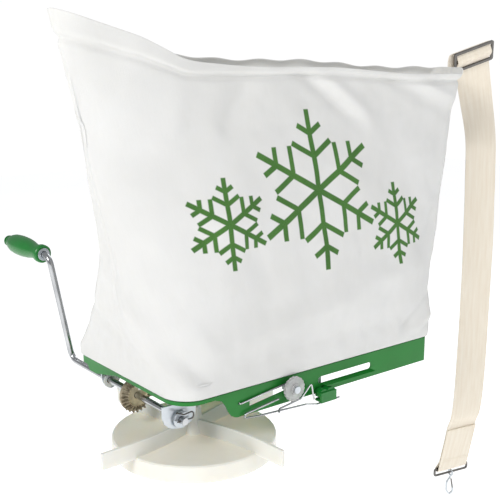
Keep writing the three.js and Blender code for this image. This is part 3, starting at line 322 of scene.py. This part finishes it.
MATERIALS = {
    "green_paint": green_paint(),
    "canvas": canvas(),
    "webbing": webbing(),
    "zinc_plate": metal("zinc_plate", (0.50, 0.54, 0.58), (0.68, 0.71, 0.74), 0.34, 260),
    "bright_wire": metal("bright_wire", (0.36, 0.37, 0.385), (0.62, 0.63, 0.64), 0.18, 300,
                         (1, 0.2, 1), 0.08),
    "dark_steel": metal("dark_steel", (0.11, 0.105, 0.10), (0.21, 0.20, 0.19), 0.38, 240),
    "bevel_gear_metal": gear_grime_and_shade(),
    "gear_steel": metal("gear_steel", (0.42, 0.44, 0.45), (0.62, 0.63, 0.64), 0.36, 300),
    "bush_metal": metal("bush_metal", (0.22, 0.19, 0.07), (0.36, 0.31, 0.13), 0.36, 200),
    "green_plastic": green_plastic(),
    "cream_plastic": cream_plastic(),
    "clear_plastic": clear_plastic(),
}


# ---- Mesh helpers -------------------------------------------------------------------------

def finished(mesh, sharp):
    """Smooth shading, with edges kept sharp above an angle in degrees."""
    for polygon in mesh.polygons:
        polygon.use_smooth = True
    mesh.set_sharp_from_angle(angle=radians(sharp))


def healed(mesh, merge=0.0, flatten=0.0, close=False):
    """Joins near points, dissolves flat facets, closes open ends and turns faces outwards."""
    bm = bmesh.new()
    bm.from_mesh(mesh)
    if merge:
        bmesh.ops.remove_doubles(bm, verts=bm.verts, dist=merge)
    if flatten:
        bmesh.ops.dissolve_limit(bm, angle_limit=flatten, verts=bm.verts, edges=bm.edges)
    if close:
        bmesh.ops.holes_fill(bm, edges=[edge for edge in bm.edges if edge.is_boundary])
    bmesh.ops.recalc_face_normals(bm, faces=bm.faces)
    bm.to_mesh(mesh)
    bm.free()


def add_piece(name, mesh, body, slot):
    piece = bpy.data.objects.new(name, mesh)
    mesh.materials.clear()
    mesh.materials.append(MATERIALS[slot])
    bpy.context.scene.collection.objects.link(piece)
    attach(piece, body)
    return piece


def grid_mesh(name, rows, closed_round, uv=None):
    """A mesh over rows of points, joined along each row and, if closed_round, round its end."""
    rows = np.asarray(rows, float)
    count, width = rows.shape[:2]
    points = rows.reshape(-1, 3)
    faces = []
    last = width if closed_round else width - 1
    for i in range(count - 1):
        for j in range(last):
            a, b = i * width + j, i * width + (j + 1) % width
            faces.append((a, b, b + width, a + width))
    mesh = bpy.data.meshes.new(name)
    mesh.from_pydata(to_row(points).tolist(), [], faces)
    if uv is not None:
        layer = mesh.uv_layers.new(name="cloth")
        uv = np.asarray(uv, float)
        corner = 0
        for i in range(count - 1):
            for j in range(last):
                for row, column in ((i, j), (i, j + 1), (i + 1, j + 1), (i + 1, j)):
                    layer.data[corner].uv = uv[row, min(column, uv.shape[1] - 1)]
                    corner += 1
    return mesh


def refine(node, bevel, sharp):
    """The CAD piece with its facets joined, small rounded edges and smooth shading."""
    mesh = frame["nodes"][node].data.copy()
    mesh.name = node + "_finish"
    healed(mesh, merge=2e-6, flatten=radians(0.6))
    for name in ("custom_normal", "sharp_edge"):
        layer = mesh.attributes.get(name)
        if layer:
            mesh.attributes.remove(layer)
    finished(mesh, sharp)
    piece = add_piece(node + "_finish", mesh, BODY_OF[node], SLOT_OF[node])
    if bevel:
        edge = piece.modifiers.new("edges", "BEVEL")
        edge.width = bevel / 1000
        edge.segments = 2
        edge.limit_method = "ANGLE"
        edge.angle_limit = radians(sharp)
        edge.harden_normals = True
    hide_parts(node)


SOFT = {"canvas_bag", "shoulder_strap", "strap_anchor"}
WIRES = {"crank_rod", "front_hairpin_cotter", "gate_wire", "rate_rod", "rate_stop_wire",
         "strap_link", "snap_hook", "snap_hook_gate", "gear_roll_pin"}
BEVELS = {"hopper_pan": 0.35, "impeller": 0.7, "crank_grip": 0.4, "gate_lever": 0.8,
          "front_shaft_bracket": 0.4, "rear_shaft_bracket": 0.4, "slide_buckle": 0.5,
          "rate_thumb_wheel": 0.5, "agitator": 0.6}
PLAIN_BEVEL = 0.22
SHARP = 38
SHARP_WIRE = 62
for node in frame["nodes"]:
    if node in SOFT:
        continue
    if node in WIRES:
        refine(node, 0, SHARP_WIRE)
    else:
        refine(node, BEVELS.get(node, PLAIN_BEVEL), SHARP)


# ---- Canvas bag ---------------------------------------------------------------------------

PAN_HALF = np.array([178.0, 102.0])
MOUTH_HALF = np.array([256.0, 24.0])
MOUTH_CENTRE = np.array([190.5, 80.0])
CLOTH_OUT = 2.75
PAN_RADII = np.array([28.0, 5.0, 5.0, 12.0]) + CLOTH_OUT
MOUTH_RADIUS = 24
MOUTH_TURN = 4.6
BAG_LOW = 0.6
ARC_STEPS = 14
SIDE_STEPS = (74, 26, 74, 26)
FRONT_COLUMN = 40
CLOTH_THICKNESS = 0.0013

# The mouth's edge climbs gently from its right end, then steeply to the tip of its left corner.
MOUTH_SLOPE = 0.056
RIGHT_X, RIGHT_Z = 447, 311
STEEP_FROM_X = 55
TIP_X, TIP_Z = -66, 377


def mouth_height(x):
    steep = (TIP_Z - RIGHT_Z - MOUTH_SLOPE * (RIGHT_X - TIP_X)) / (STEEP_FROM_X - TIP_X)
    return RIGHT_Z + MOUTH_SLOPE * (RIGHT_X - x) + steep * np.maximum(0, STEEP_FROM_X - x)


def ring(centre, half, radii, turn, share=0.0):
    """Points and outward directions round a rounded rectangle, starting at its front left."""
    points = []
    corners = [(-1, -1), (1, -1), (1, 1), (-1, 1)]
    middles = [np.array([sx * (half[0] - r), sy * (half[1] - r)])
               for (sx, sy), r in zip(corners, radii)]
    for c in range(4):
        for k in range(ARC_STEPS):
            angle = pi * (1 + c / 2 + k / (2 * (ARC_STEPS - 1)))
            out = np.array([cos(angle), sin(angle)])
            points.append(middles[c] + radii[c] * out)
        start = points[-1]
        end = middles[(c + 1) % 4] + radii[(c + 1) % 4] * out
        for k in range(1, SIDE_STEPS[c]):
            points.append(start + (end - start) * k / SIDE_STEPS[c])
    points = np.array(points)
    points[:, 1] *= 1 - pinch_at(share, points[:, 0] / half[0])
    around = np.roll(points, -1, axis=0) - np.roll(points, 1, axis=0)
    normals = np.column_stack([around[:, 1], -around[:, 0]])
    normals /= np.linalg.norm(normals, axis=1)[:, None]
    angle = radians(turn)
    spin = np.array([[cos(angle), -sin(angle)], [sin(angle), cos(angle)]])
    return points @ spin.T + centre, normals @ spin.T


# Soft folds on the panels: two ends, half width and height, all in millimetres. The ends are in
# X and Z on the front and rear, and in Y and Z on the sides.
FOLD_GAIN = 1.35
FRONT_FOLDS = [
    (196, 316, 262, 262, 9, -3.6), (214, 318, 284, 262, 9, 2.6), (134, 318, 92, 262, 12, -3.0),
    (60, 314, 22, 250, 13, 2.2), (-48, 300, -52, 120, 15, -4.2), (-46, 84, 12, 14, 7, 4.2),
    (-30, 90, 34, 12, 8, -3.4), (-70, 90, -22, 26, 7, -3.2), (20, 70, 70, 12, 11, 2.0),
    (48, 42, 200, 66, 15, 3.4), (200, 66, 352, 96, 16, 3.0), (60, 24, 300, 30, 13, -2.6),
    (300, 8, 366, 52, 6, -2.8), (322, 8, 372, 34, 5, 2.6), (338, 6, 366, 18, 4, -2.2),
    (416, 200, 352, 110, 12, -3.2), (430, 250, 392, 160, 11, 2.4), (330, 306, 412, 262, 10, -2.4),
    (366, 304, 432, 276, 8, 2.2), (100, 150, 122, 66, 18, -1.8), (-10, 200, 30, 110, 22, 1.8),
]
REAR_FOLDS = [
    (80, 330, 150, 250, 12, -3.4), (100, 332, 176, 240, 12, 2.8), (250, 320, 196, 220, 12, -3.0),
    (330, 40, 250, 110, 13, 3.2), (30, 30, 130, 96, 13, 3.0), (60, 20, 280, 34, 12, -2.6),
    (-40, 260, -20, 120, 16, -3.6), (380, 280, 330, 150, 14, -3.0), (140, 160, 220, 120, 22, 2.2),
]
SIDE_FOLDS = [
    (20, 40, 110, 110, 10, 3.0), (40, 20, 150, 70, 9, -3.0), (180, 30, 110, 120, 11, 2.8),
    (100, 60, 96, 250, 13, -4.4), (60, 120, 90, 240, 12, 2.4), (150, 90, 110, 220, 11, 2.6),
]


def fold_height(folds, a, z):
    """The folds' height at places a along the panel and z up it."""
    total = np.zeros_like(a)
    for a0, z0, a1, z1, width, height in folds:
        run = np.array([a1 - a0, z1 - z0], float)
        length = np.hypot(*run)
        share = ((a - a0) * run[0] + (z - z0) * run[1]) / length ** 2
        off = ((a - a0) * run[1] - (z - z0) * run[0]) / length
        off = off + 0.1 * width * np.sin(share * 5 + a0)
        ends = np.clip(1 - np.maximum(-share, share - 1) / 0.22, 0, 1)
        body = np.where((share > 0) & (share < 1), 1.0, smooth_step(ends))
        taper = 0.55 + 0.45 * np.sin(np.clip(share, 0, 1) * pi)
        total += FOLD_GAIN * height * body * taper * np.exp(-(off / width) ** 2)
    return total


def crumple(points, scale, seed):
    """Smooth noise at the points, the same for the same seed."""
    shift = Vector((seed * 3.1, seed * 1.7, seed * 2.3))
    return np.array([noise.noise(Vector(p) / scale + shift) for p in points])


def hem_depth(x):
    """The sewn hem at the mouth is deeper towards its left corner."""
    return 9 + 14 * np.clip((180 - x) / 240, 0, 1)


PINCH_LEFT = 0.88
PINCH_RIGHT = 0.22
UPRIGHT = 0.035


def pinch_at(share, along):
    """How far the front and rear panels have closed up towards the side seam at one end."""
    closing = 1 - min(1 - share + UPRIGHT, 1) ** 5
    opening = 1 - 0.45 * share ** 10
    sharpness = 3 + 5 * (1 - share) ** 3
    strength = np.where(along < 0, PINCH_LEFT, PINCH_RIGHT)
    return strength * closing * opening * np.abs(along) ** sharpness


# What shapes the bag's panels, in millimetres.
BULGE = 5
DRAWN_IN = 9
FRONT_SWELL = 6.5
GATHER = 0.9
HEM_STANDS = 1.3
HEM_STITCH_DENT = 3
SEAM_RIDGE = 1.4
FRONT_RIM_LOW = 7


def bag_level(share):
    """One round of the bag's outside, 0 at the pan and 1 at the mouth, and where it faces."""
    ease = share ** 1.15
    grow = 2.7 + BULGE * sin(pi * share)
    half = PAN_HALF + (MOUTH_HALF - PAN_HALF) * ease + grow
    radii = np.minimum(PAN_RADII + 90 * share * (1 - share),
                       PAN_RADII + (MOUTH_RADIUS - PAN_RADII) * ease)
    centre = PAN_HALF + (MOUTH_CENTRE - PAN_HALF) * ease
    flat, out = ring(centre, half, radii, -MOUTH_TURN * ease, share)
    drawn_in = np.clip((centre[0] - flat[:, 0]) / half[0], 0, 1) ** 3
    flat[:, 0] += DRAWN_IN * sin(pi * share) * drawn_in
    height = BAG_LOW + (mouth_height(flat[:, 0]) - BAG_LOW) * share
    x, y, z = flat[:, 0], flat[:, 1], height
    weight_front = np.clip(-out[:, 1], 0, 1) ** 2
    weight_rear = np.clip(out[:, 1], 0, 1) ** 2
    weight_side = np.clip(np.abs(out[:, 0]), 0, 1) ** 2
    below = (mouth_height(x) - BAG_LOW) * (1 - share) - hem_depth(x)
    swell = FRONT_SWELL * sin(pi * min(share * 1.25, 1)) * weight_front
    swell = swell * np.exp(-((x - 200) / 170) ** 2)
    lift = (swell
            + weight_front * fold_height(FRONT_FOLDS, x, z)
            + weight_rear * fold_height(REAR_FOLDS, x, z)
            + weight_side * fold_height(SIDE_FOLDS, y, z))
    points = np.column_stack([x, y, z])
    lift += 2.6 * crumple(points, 62, 1) + 1.3 * crumple(points, 27, 2)
    lift += 0.45 * crumple(points * [1, 1, 0.6], 9, 3)
    gather = np.clip(1 - share / 0.13, 0, 1)
    lift += gather * GATHER * np.sin((x + y) / 5.2)
    lift *= np.clip(share / 0.07, 0, 1) ** 1.5 * np.where(below < 0, 0.45, 1)
    lift += np.where(below < 0, HEM_STANDS + 0.5 * np.sin(x / 23), 0)
    lift -= HEM_STITCH_DENT * np.exp(-((below - 2) / 4) ** 2)
    seam = np.abs(y - centre[1] + sin(radians(MOUTH_TURN)) * (x - centre[0]) * ease)
    lift += SEAM_RIDGE * weight_side * np.exp(-(seam / 1.8) ** 2)
    droop = 1.6 * np.sin(x / 34 + 0.6) * share ** 10
    points[:, :2] += out * lift[:, None]
    low_front = np.clip((x - 10) / 60, 0, 1) * weight_front * share ** 12
    ripple = 1.2 * weight_rear * np.sin(x / 9) * share ** 12
    points[:, 2] += droop - FRONT_RIM_LOW * low_front + ripple
    return points, out


def make_bag():
    """The bag, its way round at mid height in metres, and its area in square metres."""
    low = np.linspace(0, 0.9, 84)
    high = np.linspace(0.9, 1.0, 30)[1:]
    levels = [bag_level(float(share)) for share in np.concatenate([low, high])]
    rows = np.array([points for points, _ in levels])
    wrapped = np.concatenate([rows, rows[:, :1]], axis=1)
    across = travelled(wrapped[len(rows) // 2]) / 1000
    up = travelled(rows[:, FRONT_COLUMN]) / 1000
    uv = np.stack(np.meshgrid(across, up), axis=-1)
    mesh = grid_mesh("bag_cloth", rows, True, uv)
    front = mesh.attributes.new("front_panel", "FLOAT", "POINT")
    facing = np.concatenate([(out[:, 1] < -0.6).astype(float) for _, out in levels])
    front.data.foreach_set("value", facing)
    finished(mesh, 80)
    piece = add_piece("bag_cloth", mesh, "base", "canvas")
    thick = piece.modifiers.new("thickness", "SOLIDIFY")
    thick.thickness = CLOTH_THICKNESS
    thick.offset = -1
    smooth = piece.modifiers.new("smooth", "SUBSURF")
    smooth.levels = smooth.render_levels = 1
    steps = np.linalg.norm(np.diff(wrapped, axis=1), axis=2).sum(1)
    rises = np.linalg.norm(np.diff(rows, axis=0), axis=2).mean(1)
    area = float((rises * (steps[1:] + steps[:-1]) / 2).sum()) / 1e6
    return piece, float(across[-1]), area


# The section of the turned-in hem: how far inside the bag's lower edge, and how high.
FOLD_SECTION = ((2.4, 15.5), (3.0, 13.2), (4.6, 11.9), (10, 11.6), (18.2, 11.6),
                (18.6, 11.2), (18.2, 10.6), (10, 10.5), (4.2, 10.5), (2.4, 11.6))


def make_fold():
    """The turned-in hem of the bag, flat on the pan's floor under the clamping strips."""
    rows = []
    for inset, z in FOLD_SECTION:
        radii = np.maximum(PAN_RADII - inset, 0.6)
        flat = ring(PAN_HALF, PAN_HALF + CLOTH_OUT - inset, radii, 0)[0]
        rows.append(np.column_stack([flat, np.full(len(flat), z)]))
    rows.append(rows[0])
    across = travelled(rows[0]) / 1000
    across = np.append(across, across[-1] + 0.002)
    uv = np.stack(np.meshgrid(across, np.linspace(0, 0.04, len(rows))), axis=-1)
    mesh = grid_mesh("bag_fold", rows, True, uv)
    healed(mesh, merge=1e-6)
    finished(mesh, 60)
    return add_piece("bag_fold", mesh, "base", "canvas")


bag, bag_round, bag_area = make_bag()
bag_fold = make_fold()
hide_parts("canvas_bag")


# ---- Webbing ------------------------------------------------------------------------------

# The strap is drawn round its own origin: Y and Z along its line, X across it.
STRAP_AT = np.array([518.0, 60.0, 0.0])
STRAP_TURN = radians(-10)
HALF_WIDTH = 25.4
THICKNESS = 1.8
PIVOT = np.array([0.0, 18.0, 314.0])
TOP_PITCH = radians(23)
TOP_ROLL = radians(-19)
TOP_ASIDE = 7.6


def lean(points, share):
    """The askew hang of the strap's top, as the CAD has it: share 1 moves with the buckle."""
    share = smooth_step(np.clip(share, 0, 1))
    points = points - PIVOT
    pitch, roll = TOP_PITCH * share, TOP_ROLL * share
    x, y, z = points.T
    x, z = x * np.cos(roll) + z * np.sin(roll), z * np.cos(roll) - x * np.sin(roll)
    y, z = y * np.cos(pitch) - z * np.sin(pitch), z * np.cos(pitch) + y * np.sin(pitch)
    return np.column_stack([x - TOP_ASIDE * share, y, z]) + PIVOT


def from_strap(points):
    turn = np.array([[cos(STRAP_TURN), -sin(STRAP_TURN), 0],
                     [sin(STRAP_TURN), cos(STRAP_TURN), 0], [0, 0, 1]])
    return points @ turn.T + STRAP_AT


def spline(points, steps):
    """A smooth curve through the points, cut into even steps of its parameter."""
    points = np.asarray(points, float)
    spots = []
    for t in np.linspace(0, len(points) - 1, steps):
        i = min(int(t), len(points) - 2)
        w = t - i
        p0, p1 = points[max(i - 1, 0)], points[i]
        p2, p3 = points[i + 1], points[min(i + 2, len(points) - 1)]
        v0, v1 = (p2 - p0) / 2, (p3 - p1) / 2
        spots.append((2 * p1 - 2 * p2 + v0 + v1) * w ** 3
                     + (-3 * p1 + 3 * p2 - 2 * v0 - v1) * w ** 2 + v0 * w + p1)
    return np.array(spots)


def make_webbing(name, line, width, cross, place, leaning):
    """A closed flat strip along a line, and its length in metres.

    place(spot, way, travel, face, c) gives a point of the section, leaning(points) its share of
    the lean, and cross the places across the strip, which width turns into millimetres.
    """
    travel = travelled(line)
    rows, uv = [], []
    for spot, way, s in zip(line, directions(line), travel):
        rows.append([place(spot, way, s, face, c)
                     for face, order in ((1, cross), (-1, cross[::-1])) for c in order])
        row_uv = [[width * c / 1000, s / 1000] for c in (*cross, *cross[::-1])]
        uv.append(row_uv + [row_uv[0]])
    rows = np.array(rows)
    flat = rows.reshape(-1, 3)
    placed = from_strap(lean(flat, leaning(flat))).reshape(rows.shape)
    mesh = grid_mesh(name, placed, True, uv)
    healed(mesh, close=True)
    finished(mesh, 50)
    return add_piece(name, mesh, "base", "webbing"), float(travel[-1]) / 1000


BAR = np.array([29.5, -252.0])
BAR_TURN_RADIUS = 3.5
TAIL_TOP = -184
TAIL_GAP = 0.3
WAVY = 0.35
STRAP_LINE = [
    (19.4, 339.5), (19.4, 336.2), (16.9, 331.8), (14.5, 327.6), (14.5, 324.4), (16.9, 320.2),
    (19.4, 315.8), (19.4, 311.4), (16.8, 300), (9.5, 264), (4, 222), (0, 139), (-2, 40),
    (1, -130), (12, -192), (26.1, -252.8),
]


def strap_loop():
    """The line of the webbing down its length, round the wire link and up its sewn tail."""
    line = spline(STRAP_LINE, 301)
    way = directions(line)
    behind = smooth_step(np.clip((-166 - line[:, 1]) / 16, 0, 1))
    aside = (THICKNESS + TAIL_GAP) * behind
    doubled = line + aside[:, None] * np.column_stack([-way[:, 1], way[:, 0]])
    angles = np.linspace(radians(373), radians(193), 24)
    turn = BAR + BAR_TURN_RADIUS * np.column_stack([np.cos(angles), np.sin(angles)])
    tail = line[(line[:, 1] < TAIL_TOP) & (line[:, 1] > -249)][::-1]
    return np.concatenate([doubled[line[:, 1] > -240], turn, tail])


def strap_place(spot, way, travel, face, c):
    edge = 1 - 0.45 * abs(c) ** 14
    curl = WAVY * sin(travel / 31) + WAVY * 0.5 * sin(travel / 13 + 1)
    bow = WAVY * 0.6 * c * c + curl * c * 0.5
    shift = face * THICKNESS / 2 * edge + bow
    return [c * HALF_WIDTH, spot[0] + way[1] * shift, spot[1] - way[0] * shift]


def strap_leaning(points):
    return (points[:, 2] - 205) / 100


strap, strap_length = make_webbing("strap_webbing", strap_loop(), HALF_WIDTH,
                                   np.linspace(-1, 1, 22), strap_place, strap_leaning)
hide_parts("shoulder_strap")


# The anchor runs from behind the strap's top round to the bag's corner, rising on the way.
ANCHOR_LINE = [(24.8, 21.6), (4, 21.6), (-14, 21.6), (-33, 21.4), (-46.6, 10.8),
               (-57, -0.4), (-67.2, -11)]
ANCHOR_WIDTH = 21.4
ANCHOR_LOW = 286.3
ANCHOR_RISE = 30
ANCHOR_HALF_THICKNESS = 0.86


def anchor_place(spot, way, travel, face, c):
    edge = 1 - 0.45 * abs(2 * c - 1) ** 12
    shift = face * ANCHOR_HALF_THICKNESS * edge
    rise = ANCHOR_RISE * np.clip((spot[0] + 67) / 33, 0, 1)
    return [spot[0] - way[1] * shift, spot[1] + way[0] * shift,
            ANCHOR_LOW + rise + ANCHOR_WIDTH * c]


def anchor_leaning(points):
    return (points[:, 0] + 66) / 32


anchor, anchor_length = make_webbing("anchor_webbing", spline(ANCHOR_LINE, 90), ANCHOR_WIDTH,
                                     np.linspace(0, 1, 14), anchor_place, anchor_leaning)
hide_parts("strap_anchor")


THREAD_SIDES = 6
THREAD_SECTIONS = 6
THREAD_RADIUS = 0.3
THREAD_RISE = 0.22
STITCH_LENGTH = 2.4
STITCH_PITCH = 3.4
STITCH_HEIGHTS = (-187, -190, -236, -239)


def stitch_mesh(name, stitches):
    """Short raised threads, each a spindle between two points just proud of the cloth."""
    points, faces = [], []
    for start, end, out in stitches:
        way = (end - start) / np.linalg.norm(end - start)
        side = np.cross(way, out)
        base = len(points)
        for k in range(THREAD_SECTIONS + 1):
            share = k / THREAD_SECTIONS
            swell = THREAD_RADIUS * sin(pi * share) ** 0.5 + 0.03
            middle = start + (end - start) * share + out * THREAD_RISE * sin(pi * share)
            for j in range(THREAD_SIDES):
                angle = j * 2 * pi / THREAD_SIDES
                points.append(middle + swell * (side * cos(angle) + out * sin(angle)))
        for k in range(THREAD_SECTIONS):
            row = base + k * THREAD_SIDES
            for j in range(THREAD_SIDES):
                a, b = row + j, row + (j + 1) % THREAD_SIDES
                faces.append((a, b, b + THREAD_SIDES, a + THREAD_SIDES))
    mesh = bpy.data.meshes.new(name)
    mesh.from_pydata(to_row(points).tolist(), [], faces)
    finished(mesh, 60)
    return mesh


def strap_stitches():
    """Rows of stitches across the front of the strap's sewn tail."""
    line = spline(STRAP_LINE, 300)
    stitches = []
    for z in STITCH_HEIGHTS:
        k = int(np.argmin(np.abs(line[:, 1] - z)))
        way = line[k + 1] - line[k]
        way /= np.linalg.norm(way)
        out = np.array([0, way[1], -way[0]])
        spot = line[k] + out[1:] * 0.95
        turned = from_strap(np.array([out])) - STRAP_AT
        for x in np.arange(-21, 20, STITCH_PITCH):
            start, end = from_strap(np.array([[x, *spot], [x + STITCH_LENGTH, *spot]]))
            stitches.append((start, end, turned[0]))
    add_piece("strap_stitches", stitch_mesh("strap_stitches", stitches), "base", "webbing")


strap_stitches()


# ---- Stage --------------------------------------------------------------------------------

FLOOR_HEIGHT = -465.5
FLOOR_START = -3000
FLOOR_STEP = 300
FLOOR_COUNT = 26


def add_stage():
    """A plain pale floor some way below the object, which is shown hanging free."""
    spots = [FLOOR_START + FLOOR_STEP * k for k in range(FLOOR_COUNT)]
    rows = [[[x, y, FLOOR_HEIGHT] for x in spots] for y in spots]
    mesh = grid_mesh("floor", rows, False)
    shader = Shader("floor", Roughness=0.8, Emission_Color=(1, 1, 1, 1), Emission_Strength=0.62)
    shader.into("Base Color", shader.ramp(shader.noise(1.5, 2), [
        (0.3, grey(0.86)), (0.7, grey(0.90))]))
    mesh.materials.append(shader.material)
    floor = bpy.data.objects.new("floor", mesh)
    bpy.context.scene.collection.objects.link(floor)


def area_light(name, place, target, size, power, tint):
    data = bpy.data.lights.new(name, "AREA")
    data.size = size
    data.energy = power
    data.color = tint
    light = bpy.data.objects.new(name, data)
    light.location = place
    aim = Vector(target) - Vector(place)
    light.rotation_euler = aim.to_track_quat("-Z", "Y").to_euler()
    bpy.context.scene.collection.objects.link(light)


def add_world():
    """A white backdrop, and a softer even light on the object than that white would give."""
    world = bpy.data.worlds.new("studio")
    world.use_nodes = True
    tree = world.node_tree
    seen = tree.nodes.new("ShaderNodeBackground")
    seen.inputs["Color"].default_value = (1, 1, 1, 1)
    seen.inputs["Strength"].default_value = 1.02
    lit = tree.nodes["Background"]
    lit.inputs["Color"].default_value = (0.96, 0.98, 1, 1)
    lit.inputs["Strength"].default_value = 0.42
    path = tree.nodes.new("ShaderNodeLightPath")
    mix = tree.nodes.new("ShaderNodeMixShader")
    tree.links.new(path.outputs["Is Camera Ray"], mix.inputs[0])
    tree.links.new(lit.outputs[0], mix.inputs[1])
    tree.links.new(seen.outputs[0], mix.inputs[2])
    tree.links.new(mix.outputs[0], tree.nodes["World Output"].inputs["Surface"])
    bpy.context.scene.world = world


# Name, place, what it points at, size in metres, watts and tint.
LIGHTS = [
    ("key", (-2.0, -0.75, 1.35), (0, -0.1, 0.1), 0.8, 30, (1, 0.99, 0.97)),
    ("front", (0.4, -2.2, 0.5), (0, -0.1, 0.0), 1.2, 9.5, (1, 1, 1)),
    ("rim", (1.6, 1.0, 1.2), (0.1, 0, 0.1), 1.0, 9, (0.97, 0.99, 1)),
]
add_stage()
add_world()
for light in LIGHTS:
    area_light(*light)
bpy.context.scene.view_settings.view_transform = "Standard"
